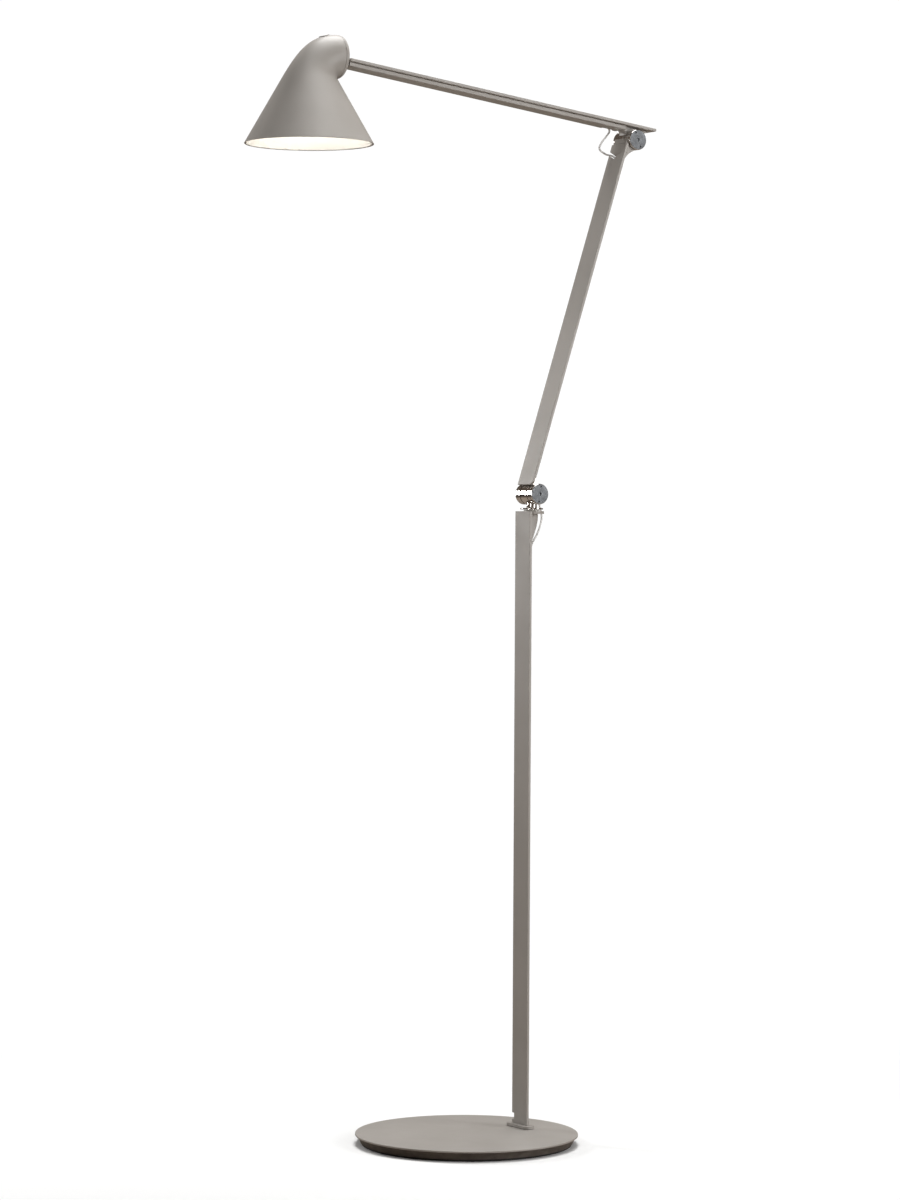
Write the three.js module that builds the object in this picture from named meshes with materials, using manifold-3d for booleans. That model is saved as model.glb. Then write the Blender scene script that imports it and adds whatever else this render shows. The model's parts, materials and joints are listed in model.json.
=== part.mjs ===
// An adjustable floor lamp for reading: a heavy round base, a flat upright, two flat arms that
// fold on round hinges, and a small cone shade whose neck bends over to meet the upper arm.
//
// Millimetres, +Z up. The origin is the centre of the base's underside, on the floor.
// The upright and both arms lie in the plane Y = 0. The shade reaches out towards -X, and every
// hinge turns about Y. Right means the -Y side, left means the +Y side.

import * as THREE from 'three';
import { mergeVertices } from 'three/addons/utils/BufferGeometryUtils.js';
import { ParametricGeometry } from 'three/addons/geometries/ParametricGeometry.js';
import Module from 'manifold-3d';

const wasm = await Module();
wasm.setup();

// ---------------------------------------------------------------- driving dimensions

const gap = 0.3; // clearance between pieces that touch

const base = {
  radius: 125,
  height: 12,
  plate: 2.2, // the painted steel top plate
  pad: 1.2, // the rubber sheet that stands on the floor
  undercut: 4, // how far the weight steps in below the plate
  undercutDepth: 3.6,
  taper: 2.1, // how much further the weight narrows down to the floor
};

const bar = { width: 30, thickness: 3.2 }; // the flat bar of the upright and the arms

const upright = { x: 72.2, top: 709.3 }; // centre of the flat bar, and its upper end

const collar = { length: bar.width + 14, width: 13, height: 3 }; // trim where the upright lands

const channel = { width: 14, depth: 4.5, wall: 1 }; // cord cover behind the upright and lower arm
const armCover = { width: 22, depth: 4.4, wall: 1 }; // wider cord cover under the upper arm

const cord = { diameter: 2.2, sides: 8 };

const hinge = {
  radius: 11.6, // outside of the knuckles and the end caps
  tongue: 13, // width of the middle knuckle
  washer: 0.6, // friction washer on each side of it
  capFace: 16.75, // half the width over both end caps
  capThickness: 3.5,
  spindleRadius: 4,
  bushWall: 1,
  clearance: 0.5, // between a knuckle and the web that bends over it
};

const lowerArm = {
  lean: 18, // degrees from upright, away from the shade
  length: 427.5, // hinge to hinge
  offset: hinge.radius - 0.7, // centre of the bar from the line between the hinges, towards the shade
  endsBefore: hinge.radius - 3.1, // end of the bar below the elbow
};

const upperArm = {
  rise: 7.1, // degrees above level, towards the shade
  length: 411.2, // elbow to the tilt pin in the shade's neck
  offset: hinge.radius + 4.3, // centre of the bar above the elbow
  overhang: 25, // bar past the elbow
};

const swivel = {
  neckRadius: 5.8,
  neckHeight: 4.1, // between the collar and the hinge
  collarRadius: 12.9,
  collarThickness: 1.6,
  shankRadius: 4,
  shankLength: 13.5,
  flangeRadius: 14, // plate on the upright's bracket, under the collar
  flangeThickness: 3,
  bossRadius: 7.1,
  setBack: 1.7, // from the back of the upright to the boss
  bushWall: 1,
  bushFlange: 1.4,
};

const shade = {
  rimRadius: 70.8,
  slope: 29.8, // degrees from the shade's axis
  wall: 1,
  coneHeight: 71, // straight side, up to the inner corner of the bend
  neckDiameter: 47.8,
  cornerRadius: 1.5, // at the inner corner of the bend
  neckEnd: 40.5, // end face of the neck from the shade's axis
  capDepth: 7, // visible depth of the cap that closes the neck
  capRound: 5, // radius of the cap's edge
  capDome: 1.5, // how far the cap's face bulges
  pinInset: 22, // tilt pin from the end face
};

const liner = { wall: 0.8, airGap: 0.5, start: 0.6, height: 49.4 };
const diffuser = { thickness: 2 };
const ledBoard = { radius: 33, thickness: 1.6 };
const heatSink = { radius: 28.5, base: 3, fins: 8, finThickness: 1.6, height: 13 };
const driver = { width: 22, height: 15, thickness: 1.6 };
const button = {
  radius: 6,
  proud: 0.6, // above the shade
  place: 74, // degrees round the bend
  lip: 1.2, // the lip under the shade, past the radius, and its thickness
  belowLip: 0.5,
  spring: shade.neckDiameter * 0.075, // the spring and the switch stand between button and arm
  switchHeight: shade.neckDiameter * 0.095,
};

const notch = { height: 4, depth: 14.5, slope: -24, below: 19.5 }; // cord slot in the lower arm
const outlet = { bottom: 20, height: 7, depth: 4 }; // slot in the upright's edge for the supply cord

// ---------------------------------------------------------------- worked-out sizes

const radians = THREE.MathUtils.degToRad;
const plateBottom = base.height - base.plate;
const collarBottom = base.height + 2 * gap; // a shadow line under the trim
const collarTop = collarBottom + collar.height;
const uprightBack = upright.x + bar.thickness / 2;
const bracketX = uprightBack + gap;
const tongueHalf = hinge.tongue / 2;
const washerStart = tongueHalf + gap;
const forkStart = washerStart + hinge.washer + gap;
const capStart = hinge.capFace - hinge.capThickness;
const forkEnd = capStart - gap;
const hugRadius = hinge.radius + hinge.clearance;
const boreRadius = hinge.spindleRadius + gap;
const swivelCollarBottom = upright.top + gap + swivel.bushFlange + gap;
const swivelCollarTop = swivelCollarBottom + swivel.collarThickness;
const lowerHinge = {
  x: bracketX + swivel.setBack + swivel.bossRadius,
  z: swivelCollarTop + swivel.neckHeight + hinge.radius,
};
const coneTan = Math.tan(radians(shade.slope));
const cornerX = shade.rimRadius - shade.coneHeight * coneTan;
const pivot = { x: cornerX + shade.cornerRadius, z: shade.coneHeight }; // the neck bends round this
const neckAxisZ = pivot.z + shade.cornerRadius + shade.neckDiameter / 2;
const pinX = shade.neckEnd - shade.pinInset;
const barFaceLower = -lowerArm.offset - bar.thickness / 2; // shade-side face, in the arm's own frame
const barBackLower = -lowerArm.offset + bar.thickness / 2;
const lowerBarStart = Math.sqrt((hinge.radius + gap) ** 2 - barBackLower ** 2); // clears the knuckle
const lowerBarEnd = lowerArm.length - lowerArm.endsBefore;
const barUnder = upperArm.offset - bar.thickness / 2;

// ---------------------------------------------------------------- materials

function finish(color, roughness, metalness = 0) {
  return new THREE.MeshStandardMaterial({ color, roughness, metalness });
}

const finishes = {
  paint: finish('#aca59d', 0.38),
  chrome: finish('#d5d2cd', 0.08, 1),
  steel: finish('#94979a', 0.3, 1),
  blackSteel: finish('#3a3835', 0.5, 0.6),
  iron: finish('#4a4642', 0.7, 0.4),
  rubber: finish('#222221', 0.9),
  nylon: finish('#e6e2d8', 0.5),
  fibre: finish('#7d3b2b', 0.8),
  cord: finish('#dedbd5', 0.55),
  white: finish('#f4f2ec', 0.45),
  opal: finish('#fbf8f0', 0.3),
  aluminium: finish('#b9bbbd', 0.4, 1),
  board: finish('#e9ece8', 0.5),
  green: finish('#1f5a3c', 0.5),
  black: finish('#1d1d1e', 0.45),
};

// ---------------------------------------------------------------- solids

const BIG = upright.top; // longer than anything that a cut goes through

function toSolid(geometry) {
  const bare = geometry.index ? geometry.toNonIndexed() : geometry.clone();
  bare.deleteAttribute('normal');
  bare.deleteAttribute('uv');
  const merged = mergeVertices(bare, 1e-4);
  const vertProperties = new Float32Array(merged.attributes.position.array);
  const triVerts = new Uint32Array(merged.index.array);
  return new wasm.Manifold(new wasm.Mesh({ numProp: 3, vertProperties, triVerts }));
}

function toGeometry(solid) {
  const mesh = solid.getMesh();
  const geometry = new THREE.BufferGeometry();
  geometry.setAttribute('position', new THREE.BufferAttribute(mesh.vertProperties, 3));
  geometry.setIndex(new THREE.BufferAttribute(mesh.triVerts, 1));
  geometry.computeVertexNormals();
  return geometry;
}

function cut(solid, ...tools) {
  return tools.reduce((left, tool) => left.subtract(tool), solid);
}

function join(first, ...others) {
  return others.reduce((all, other) => all.add(other), first);
}

// A block between two limits on each axis.
function block([x0, x1], [y0, y1], [z0, z1]) {
  const geometry = new THREE.BoxGeometry(x1 - x0, y1 - y0, z1 - z0);
  geometry.translate((x0 + x1) / 2, (y0 + y1) / 2, (z0 + z1) / 2);
  return toSolid(geometry);
}

// A straight round rod along an axis, between two limits; centre is where it crosses the others.
function rod(axis, radius, [from, to], centre = [0, 0], sides = 24) {
  const geometry = new THREE.CylinderGeometry(radius, radius, to - from, sides);
  const middle = (from + to) / 2;
  if (axis === 'x') geometry.rotateZ(Math.PI / 2).translate(middle, centre[0], centre[1]);
  if (axis === 'y') geometry.translate(centre[0], middle, centre[1]);
  if (axis === 'z') geometry.rotateX(Math.PI / 2).translate(centre[0], centre[1], middle);
  return toSolid(geometry);
}

// An outline in the XZ plane, given a thickness along Y.
function prism(outline, [y0, y1], curveSegments = 8) {
  const flat = outline instanceof THREE.Shape ? outline : new THREE.Shape(
    outline.map(([x, z]) => new THREE.Vector2(x, z)));
  const geometry = new THREE.ExtrudeGeometry(flat, { depth: y1 - y0, bevelEnabled: false, curveSegments });
  geometry.rotateX(Math.PI / 2).translate(0, y1, 0);
  return toSolid(geometry);
}

// A profile of [radius, height] points turned about Z. It starts and ends on the axis.
function turned(profile, sides = 44) {
  const geometry = new THREE.LatheGeometry(profile.map(([r, z]) => new THREE.Vector2(r, z)), sides);
  geometry.rotateX(Math.PI / 2);
  return toSolid(geometry);
}

// A round tube along a smooth route.
function tube(points, steps, radius = cord.diameter / 2) {
  const section = new THREE.Shape().absarc(0, 0, radius, 0, 2 * Math.PI);
  const extrudePath = new THREE.CatmullRomCurve3(points.map(([x, y, z]) => new THREE.Vector3(x, y, z)));
  const curveSegments = cord.sides / 2; // a full circle takes twice this many sides
  return new THREE.ExtrudeGeometry(section, { extrudePath, steps, bevelEnabled: false, curveSegments });
}

const lamp = new THREE.Group();
lamp.name = 'floor_lamp';

function piece(name, shape, material, group = lamp) {
  const geometry = shape.isBufferGeometry ? shape : toGeometry(shape);
  const mesh = new THREE.Mesh(geometry, material);
  mesh.name = name;
  group.add(mesh);
}

const sides = [['left', 1], ['right', -1]];

// Limits along Y on one side of the middle plane.
function across(sign, inner, outer) {
  return sign > 0 ? [inner, outer] : [-outer, -inner];
}

// ---------------------------------------------------------------- base

const foot = {
  blockHalfX: 11,
  blockHalfY: bar.width / 2 + 7,
  blockBottom: 4.2,
  screwY: bar.width / 2 + 2.5,
  screwRadius: 2,
  headRadius: 3.6,
  headHeight: 1.8,
};

const weightScrew = { circle: 88, radius: 2, headRadius: 4.2, headHeight: 2.4, bottom: 2 };
const weightAngles = [60, 180, 300];
const underPlate = plateBottom - gap;

function weightCentre(angle) {
  return [weightScrew.circle * Math.cos(radians(angle)), weightScrew.circle * Math.sin(radians(angle))];
}

function barSlot(bottom, top, margin = gap) {
  const halfX = bar.thickness / 2 + margin;
  const halfY = bar.width / 2 + margin;
  return block([upright.x - halfX, upright.x + halfX], [-halfY, halfY], [bottom, top]);
}

function buildBase() {
  const plate = cut(
    rod('z', base.radius, [plateBottom, base.height], [0, 0], 80),
    barSlot(plateBottom - 1, base.height + 1),
    ...footHoles(plateBottom - 1, base.height + 1),
    ...weightAngles.map((a) => rod('z', weightScrew.radius + gap,
      [plateBottom - 1, plateBottom + base.plate / 2], weightCentre(a), 20)),
  );
  piece('base_plate', plate, finishes.paint);

  const top = base.radius - 1;
  const waist = base.radius - base.undercut;
  const weight = cut(
    turned([
      [0, base.pad + gap],
      [waist - base.taper, base.pad + gap],
      [waist, plateBottom - base.undercutDepth],
      [top, underPlate],
      [0, underPlate],
    ], 72),
    block(
      [upright.x - foot.blockHalfX - gap, upright.x + foot.blockHalfX + gap],
      [-foot.blockHalfY - gap, foot.blockHalfY + gap],
      [0, BIG],
    ),
    ...weightAngles.map((a) => rod('z', weightScrew.radius + gap, [0, BIG], weightCentre(a), 20)),
    ...weightAngles.map((a) => rod('z', weightScrew.headRadius + gap,
      [0, weightScrew.bottom + weightScrew.headHeight + gap], weightCentre(a), 24)),
  );
  piece('base_weight', weight, finishes.iron);

  const padOuter = waist - base.taper - 1;
  piece('base_pad', rod('z', padOuter, [0, base.pad], [0, 0], 56), finishes.rubber);

  weightAngles.forEach((a, i) => {
    const headTop = weightScrew.bottom + weightScrew.headHeight;
    const [x, y] = weightCentre(a);
    const shankTop = plateBottom + base.plate / 2 - gap;
    const shank = rod('z', weightScrew.radius, [headTop - 0.5, shankTop], [x, y], 20);
    const head = rod('z', weightScrew.headRadius, [weightScrew.bottom, headTop], [x, y], 24);
    const socket = rod('z', 2, [0, weightScrew.bottom + 1.4], [x, y], 6);
    piece(`weight_screw_${i + 1}`, cut(join(head, shank), socket), finishes.blackSteel);
  });
}

function footHoles(bottom, top, radius = foot.screwRadius + gap) {
  return sides.map(([, sign]) => rod('z', radius, [bottom, top], [upright.x, sign * foot.screwY], 20));
}

// A stadium: a rectangle with round ends, long side along Y, centred on the upright.
function stadium(length, width, bottom, top) {
  const r = width / 2;
  const end = length / 2 - r;
  return join(
    block([upright.x - r, upright.x + r], [-end, end], [bottom, top]),
    rod('z', r, [bottom, top], [upright.x, end], 32),
    rod('z', r, [bottom, top], [upright.x, -end], 32),
  );
}

function buildFoot() {
  const shift = 1.5; // the collar reaches further behind the bar, under the cord cover
  const blindTop = collarTop - 0.8;
  const trim = cut(
    stadium(collar.length, collar.width + shift, collarBottom, collarTop),
    barSlot(0, BIG),
    ...footHoles(0, blindTop),
  );
  piece('foot_collar', trim, finishes.paint);

  const blockX = [upright.x - foot.blockHalfX, upright.x + foot.blockHalfX];
  const footBlock = cut(
    block(blockX, [-foot.blockHalfY, foot.blockHalfY], [foot.blockBottom, underPlate]),
    barSlot(foot.blockBottom + 1, BIG),
    ...footHoles(0, BIG),
  );
  piece('foot_block', footBlock, finishes.blackSteel);

  sides.forEach(([side, sign]) => {
    const at = [upright.x, sign * foot.screwY];
    const headTop = foot.blockBottom - gap;
    const screw = cut(
      join(
        rod('z', foot.headRadius, [headTop - foot.headHeight, headTop], at, 24),
        rod('z', foot.screwRadius, [headTop - 0.5, blindTop - gap], at, 20),
      ),
      rod('z', 1.5, [0, headTop - 0.6], at, 6),
    );
    piece(`foot_screw_${side}`, screw, finishes.blackSteel);
  });
}

// ---------------------------------------------------------------- upright

const coverTop = upright.top - 59.3; // upper end of the cord cover, below the bracket
const outletMiddle = outlet.bottom + outlet.height / 2;
const cordX = bracketX + channel.wall / 2 + cord.diameter / 2 + 0.2; // cord behind the upright

function buildUpright() {
  const half = bar.width / 2;
  const flat = cut(
    block(
      [upright.x - bar.thickness / 2, uprightBack],
      [-half, half],
      [foot.blockBottom + 1 + gap, upright.top],
    ),
    block([0, BIG], [half - outlet.depth, BIG], [outlet.bottom, outlet.bottom + outlet.height]),
  );
  piece('upright_bar', flat, finishes.paint);

  const outer = channel.width / 2;
  const inner = outer - channel.wall;
  const bottom = collarTop + gap;
  const cover = cut(
    block([bracketX, bracketX + channel.depth], [-outer, outer], [bottom, coverTop]),
    block([0, bracketX + channel.depth - channel.wall], [-inner, inner], [bottom + channel.wall, BIG * 2]),
    rod('y', cord.diameter, [0, BIG], [cordX, outletMiddle], 16),
  );
  piece('upright_cover', cover, finishes.paint);

  const gland = cut(
    join(
      rod('y', cord.diameter - gap, [inner - 1, outer + 1.5], [cordX, outletMiddle], 16),
      rod('y', cord.diameter - gap + 0.9, [outer + gap, outer + 1.5], [cordX, outletMiddle], 16),
    ),
    rod('y', 0.9, [0, BIG], [cordX, outletMiddle], 12),
    block([0, bracketX - gap / 2], [0, BIG], [0, BIG]),
  );
  piece('cord_gland', gland, finishes.black);

  piece('upright_cord', tube([
    [cordX, 0, outletMiddle + 4],
    [cordX, 0, coverTop / 2],
    [cordX, 0, coverTop - 2],
  ], 12), finishes.cord);
}

// Bracket welded behind the top of the upright: a round flange on a tapering gusset that holds
// the swivel's bush.
const bracket = {
  flangeTop: upright.top,
  gussetTop: upright.top - swivel.flangeThickness,
  noseDrop: 0.8,
  toeOut: 5.2, // gusset past the bar's back, low down
  toeDrop: 33,
  foot: 46,
};
const bushOuter = swivel.shankRadius + gap + swivel.bushWall;
const shankEnd = swivelCollarBottom - swivel.shankLength;
const boreFloor = shankEnd - gap;
const screwFloor = boreFloor - 3;

function buildBracket() {
  const axisAt = [lowerHinge.x, 0];
  const nose = lowerHinge.x + swivel.bossRadius;
  const gusset = prism([
    [bracketX, bracket.flangeTop - bracket.foot],
    [bracketX + bracket.toeOut, bracket.flangeTop - bracket.toeDrop],
    [nose, bracket.gussetTop - bracket.noseDrop],
    [nose, bracket.gussetTop + 0.5],
    [bracketX, bracket.gussetTop + 0.5],
  ], [-swivel.bossRadius, swivel.bossRadius]);
  const rounding = join(
    block([bracketX - 1, lowerHinge.x], [-BIG, BIG], [0, BIG * 2]),
    rod('z', swivel.bossRadius, [0, BIG * 2], axisAt),
  );
  const flange = rod('z', swivel.flangeRadius, [bracket.gussetTop, bracket.flangeTop], axisAt, 40)
    .intersect(block([bracketX, BIG], [-BIG, BIG], [0, BIG * 2]));
  const body = cut(
    join(gusset.intersect(rounding), flange),
    rod('z', bushOuter + gap, [boreFloor, BIG * 2], axisAt),
    rod('z', 2.5, [0, BIG * 2], axisAt, 20),
    rod('z', 4.2, [0, screwFloor], axisAt, 24),
  );
  piece('swivel_bracket', body, finishes.paint);

  const flangeBottom = upright.top + gap;
  const bush = cut(
    join(
      rod('z', bushOuter, [shankEnd, flangeBottom + 0.5], axisAt),
      rod('z', swivel.flangeRadius - 5, [flangeBottom, flangeBottom + swivel.bushFlange], axisAt),
    ),
    rod('z', swivel.shankRadius + gap, [0, BIG * 2], axisAt),
  );
  piece('swivel_bush', bush, finishes.nylon);
}

// ---------------------------------------------------------------- swivel head on the upright

const neckTop = lowerHinge.z - hinge.radius + 2.5; // the neck seats in the middle knuckle

function buildSwivel() {
  const axisAt = [lowerHinge.x, 0];
  const stud = cut(
    join(
      rod('z', swivel.shankRadius, [shankEnd, swivelCollarBottom + 0.5], axisAt),
      rod('z', swivel.collarRadius, [swivelCollarBottom, swivelCollarTop], axisAt, 40),
      rod('z', swivel.neckRadius, [swivelCollarTop - 0.5, neckTop], axisAt),
    ),
    rod('z', 2.3, [0, shankEnd + 9], axisAt, 20),
  );
  piece('swivel_stud', stud, finishes.chrome);

  const screw = cut(
    join(
      rod('z', 3.6, [screwFloor - gap - 3, screwFloor - gap], axisAt, 24),
      rod('z', 2, [screwFloor - gap - 1, shankEnd + 8], axisAt, 20),
    ),
    rod('z', 1.5, [0, screwFloor - gap - 1.6], axisAt, 6),
  );
  piece('swivel_screw', screw, finishes.blackSteel);

  const at = [lowerHinge.x, lowerHinge.z];
  const knuckle = cut(
    rod('y', hinge.radius, [-tongueHalf, tongueHalf], at, 32),
    rod('y', boreRadius + hinge.bushWall + gap, [-BIG, BIG], at, 20),
    rod('z', swivel.neckRadius + gap, [0, neckTop + gap], axisAt),
  );
  piece('swivel_knuckle', knuckle, finishes.chrome);
}

// ---------------------------------------------------------------- parts that every hinge has

// The spindle, its bushes, the friction washers and the two end caps, round a group's own Y axis.
// turn is the angle of the two pin holes in each cap's face.
function buildHingeSet(name, turn, group, bushGroup) {
  const spindleEnd = capStart + 1.6;
  piece(`${name}_spindle`, rod('y', hinge.spindleRadius, [-spindleEnd, spindleEnd], [0, 0], 32),
    finishes.steel, group);
  sides.forEach(([side, sign]) => {
    const bushEnd = tongueHalf - gap;
    const bush = cut(
      rod('y', boreRadius + hinge.bushWall, across(sign, gap, bushEnd), [0, 0], 20),
      rod('y', boreRadius, [-BIG, BIG], [0, 0], 20),
    );
    piece(`${name}_bush_${side}`, bush, finishes.nylon, bushGroup);

    const washer = cut(
      rod('y', hinge.radius - 1, across(sign, washerStart, washerStart + hinge.washer), [0, 0], 32),
      rod('y', boreRadius, [-BIG, BIG], [0, 0], 20),
    );
    piece(`${name}_washer_${side}`, washer, finishes.fibre, group);
    piece(`${name}_cap_${side}`, endCap(sign, turn, spindleEnd), finishes.steel, group);
  });
}

// An end cap: a thick disc with a chamfered edge, a hexagon socket and two pin holes.
function endCap(sign, turn, spindleEnd) {
  const edge = 0.6;
  const inFace = hinge.capFace - 1.2;
  const pinCircle = hinge.radius - 3;
  const disc = turned([
    [0, capStart],
    [hinge.radius - edge / 2, capStart],
    [hinge.radius, capStart + edge / 2],
    [hinge.radius, hinge.capFace - edge],
    [hinge.radius - edge, hinge.capFace],
    [0, hinge.capFace],
  ], 36);
  const holes = [0, 180].map((a) => {
    const angle = radians(turn + a);
    return rod('z', 1, [inFace, BIG], [pinCircle * Math.cos(angle), pinCircle * Math.sin(angle)], 12);
  });
  const standing = cut(
    disc,
    rod('z', boreRadius, [0, spindleEnd + gap], [0, 0], 32),
    rod('z', 2.1, [inFace, BIG], [0, 0], 6),
    ...holes,
  );
  const geometry = toGeometry(standing);
  geometry.rotateX(sign > 0 ? -Math.PI / 2 : Math.PI / 2);
  return geometry;
}

// Two outer knuckles with room between them for the middle knuckle and its washers.
function forkRings() {
  return join(
    rod('y', hinge.radius, [forkStart, forkEnd], [0, 0], 32),
    rod('y', hinge.radius, [-forkEnd, -forkStart], [0, 0], 32),
  );
}

function forkRoom() {
  return join(
    rod('y', hugRadius, [-forkStart, forkStart], [0, 0], 32),
    rod('y', boreRadius, [-BIG, BIG], [0, 0], 20),
  );
}

// ---------------------------------------------------------------- lower arm

// Its own frame stands on the lower hinge: +Z runs up the arm to the elbow, -X faces the shade.
const lowerFrame = new THREE.Group();
lowerFrame.position.set(lowerHinge.x, 0, lowerHinge.z);
lowerFrame.rotation.y = radians(lowerArm.lean);
lamp.add(lowerFrame);

const elbowInLower = new THREE.Group();
elbowInLower.position.z = lowerArm.length;
lowerFrame.add(elbowInLower);

const lowerCoverX = barBackLower + gap;
const lowerCover = { start: 34, end: lowerArm.length - 42 };
const lowerCordX = lowerCoverX + channel.wall / 2 + cord.diameter / 2 + 0.2;
const notchZ = lowerArm.length - notch.below; // where the cord slot starts, at the bar's edge
const halfBar = bar.width / 2;

// The slot for the cord, sloping down from the left edge of the bar towards its middle.
function notchCut() {
  const long = notch.depth + 6;
  const geometry = new THREE.BoxGeometry(BIG, long, notch.height);
  geometry.translate(0, -long / 2 + 6, 0);
  geometry.rotateX(radians(-notch.slope));
  geometry.translate(0, halfBar, notchZ);
  return toSolid(geometry).intersect(block([-BIG, lowerCoverX + 2], [-BIG, BIG], [-BIG * 2, BIG * 2]));
}

function buildLowerArm() {
  const chamfer = 2.5;
  const flat = cut(
    block([barFaceLower, barBackLower], [-halfBar, halfBar], [lowerBarStart, lowerBarEnd]),
    notchCut(),
    cornerCut(chamfer),
  );
  piece('lower_arm_bar', flat, finishes.paint, lowerFrame);

  // The lower fork sits under the end of the bar and holds it to the outer knuckles.
  const seat = barBackLower + gap;
  const pad = prism([
    [seat, 2],
    [seat, 17],
    [seat + 2.4, 15.4],
    [seat + 4.2, 11],
    [seat + 4.2, 2],
  ], [-forkEnd, forkEnd]);
  piece('lower_fork', cut(join(forkRings(), pad), forkRoom(), behindBar(lowerBarStart - gap)),
    finishes.chrome, lowerFrame);

  const outer = channel.width / 2;
  const inner = outer - channel.wall;
  const cover = cut(
    block([lowerCoverX, lowerCoverX + channel.depth], [-outer, outer], [lowerCover.start, lowerCover.end]),
    block([-BIG, lowerCoverX + channel.depth - channel.wall], [-inner, inner], [-BIG, BIG * 2]),
  );
  piece('lower_arm_cover', cover, finishes.paint, lowerFrame);

  buildHingeSet('lower', 100, lowerFrame, lowerFrame);
  buildElbowFork();
}

// The bar's own space, so that what sits beside it keeps clear of it.
function behindBar(from) {
  return block([barFaceLower - 5, barBackLower + gap], [-BIG, BIG], [from, BIG]);
}

function cornerCut(size) {
  const geometry = new THREE.BoxGeometry(BIG, size * 2, size * 2);
  geometry.rotateX(Math.PI / 4);
  geometry.translate(0, -halfBar, lowerBarStart);
  return toSolid(geometry);
}

// Two knuckles at the elbow with a web that runs down behind the bar in one long curve.
function buildElbowFork() {
  const seat = barBackLower + gap;
  const web = new THREE.Shape();
  web.moveTo(seat, -30);
  web.quadraticCurveTo(seat + 1.5, -18, 3.6, -hinge.radius + 0.6);
  web.lineTo(3.6, -4);
  web.lineTo(seat, -4);
  web.closePath();
  const shoulder = block([barFaceLower + 0.6, seat + 3], [-forkEnd, forkEnd], [-8.2, -2]);
  const body = cut(
    join(forkRings(), prism(web, [-forkEnd, forkEnd]), shoulder),
    forkRoom(),
    block([barFaceLower - 5, seat], [-BIG, BIG], [-BIG, -lowerArm.endsBefore + gap]),
    block([seat - 1, BIG], [-2, BIG], [-BIG, -14.5]),
  );
  piece('elbow_fork', body, finishes.paint, elbowInLower);
}

// ---------------------------------------------------------------- upper arm

// Its own frame stands on the elbow: -X runs along the arm to the shade, +Z is its upper side.
const upperFrame = new THREE.Group();
upperFrame.rotation.y = radians(upperArm.rise - lowerArm.lean);
elbowInLower.add(upperFrame);

const armEnd = shade.pinInset + 3.5; // full-width bar stops this far before the tilt pin
const tongueHalfWidth = 7;
const eyeRadius = 5.5;
const pinRadius = 2.5;
const coverStart = 14; // cord cover from the elbow
const coverUnder = barUnder - gap - armCover.depth;
const cordMouth = { from: -34, to: -19, y: 7.6 }; // where the cord leaves the cover, on the left
const upperCordZ = barUnder - gap - cord.diameter / 2 - 0.5;

function buildUpperArm() {
  const zs = [barUnder, upperArm.offset + bar.thickness / 2];
  const flat = cut(
    join(
      block([-upperArm.length + armEnd, upperArm.overhang], [-halfBar, halfBar], zs),
      block([-upperArm.length, -upperArm.length + armEnd + 2], [-tongueHalfWidth, tongueHalfWidth], zs),
      rod('y', eyeRadius, [-tongueHalfWidth, tongueHalfWidth], [-upperArm.length, upperArm.offset], 32),
    ),
    rod('y', pinRadius + gap, [-BIG, BIG], [-upperArm.length, upperArm.offset], 24),
  );
  piece('upper_arm_bar', flat, finishes.paint, upperFrame);

  const outer = armCover.width / 2;
  const inner = outer - armCover.wall;
  const coverX = [-upperArm.length + armEnd + 1, -coverStart];
  const cover = cut(
    block(coverX, [-outer, outer], [coverUnder, barUnder - gap]),
    block([-BIG * 2, BIG], [-inner, inner], [coverUnder + armCover.wall, BIG]),
    block([cordMouth.from, cordMouth.to], [cordMouth.y, BIG], [-BIG, BIG]),
    rod('y', hugRadius + gap, [-BIG, BIG], [0, 0], 48),
  );
  piece('upper_arm_cover', cover, finishes.paint, upperFrame);

  // The middle knuckle, with a saddle that spreads out under the bar.
  const saddleTop = barUnder - gap;
  const saddle = new THREE.Shape();
  saddle.moveTo(-coverStart + gap, saddleTop);
  saddle.lineTo(-coverStart + gap, saddleTop - 4);
  saddle.quadraticCurveTo(-11, 8, -10.6, 4.5);
  saddle.lineTo(10.6, 4.5);
  saddle.quadraticCurveTo(11, 9, 17, saddleTop - 2);
  saddle.lineTo(19, saddleTop);
  saddle.closePath();
  const knuckle = cut(
    join(
      rod('y', hinge.radius, [-tongueHalf, tongueHalf], [0, 0], 32),
      prism(saddle, [-tongueHalf, tongueHalf]),
    ),
    rod('y', boreRadius + hinge.bushWall + gap, [-BIG, BIG], [0, 0], 20),
  );
  piece('upper_arm_knuckle', knuckle, finishes.paint, upperFrame);

  piece('upper_arm_cord', tube([
    [-upperArm.length + armEnd + 6, 0, upperCordZ],
    [-upperArm.length / 2, 0, upperCordZ],
    [-60, 0, upperCordZ],
    [-40, 3, upperCordZ],
    [-33, 6, upperCordZ],
  ], 30), finishes.cord, upperFrame);

  buildHingeSet('elbow', 130, elbowInLower, upperFrame);
}

// ---------------------------------------------------------------- shade

// Its own frame stands at the middle of the rim, and hangs from the tilt pin.
const shadeFrame = new THREE.Group();
shadeFrame.rotation.y = radians(-upperArm.rise);
const pinFrame = new THREE.Group();
pinFrame.position.set(-upperArm.length, 0, upperArm.offset);
upperFrame.add(pinFrame);
pinFrame.add(shadeFrame);
const shadeGroup = new THREE.Group();
shadeGroup.position.set(-pinX, 0, -neckAxisZ);
shadeFrame.add(shadeGroup);

// How wide the bent neck is at an angle round the bend: from the cone's width down to the neck's.
function neckWidth(angle) {
  const coneWidth = 2 * cornerX;
  const fall = (coneWidth + shade.cornerRadius) * coneTan * (Math.PI / 2) / (coneWidth - shade.neckDiameter);
  const left = (1 - angle / (Math.PI / 2)) ** fall;
  return shade.neckDiameter + (coneWidth - shade.neckDiameter) * left;
}

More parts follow.
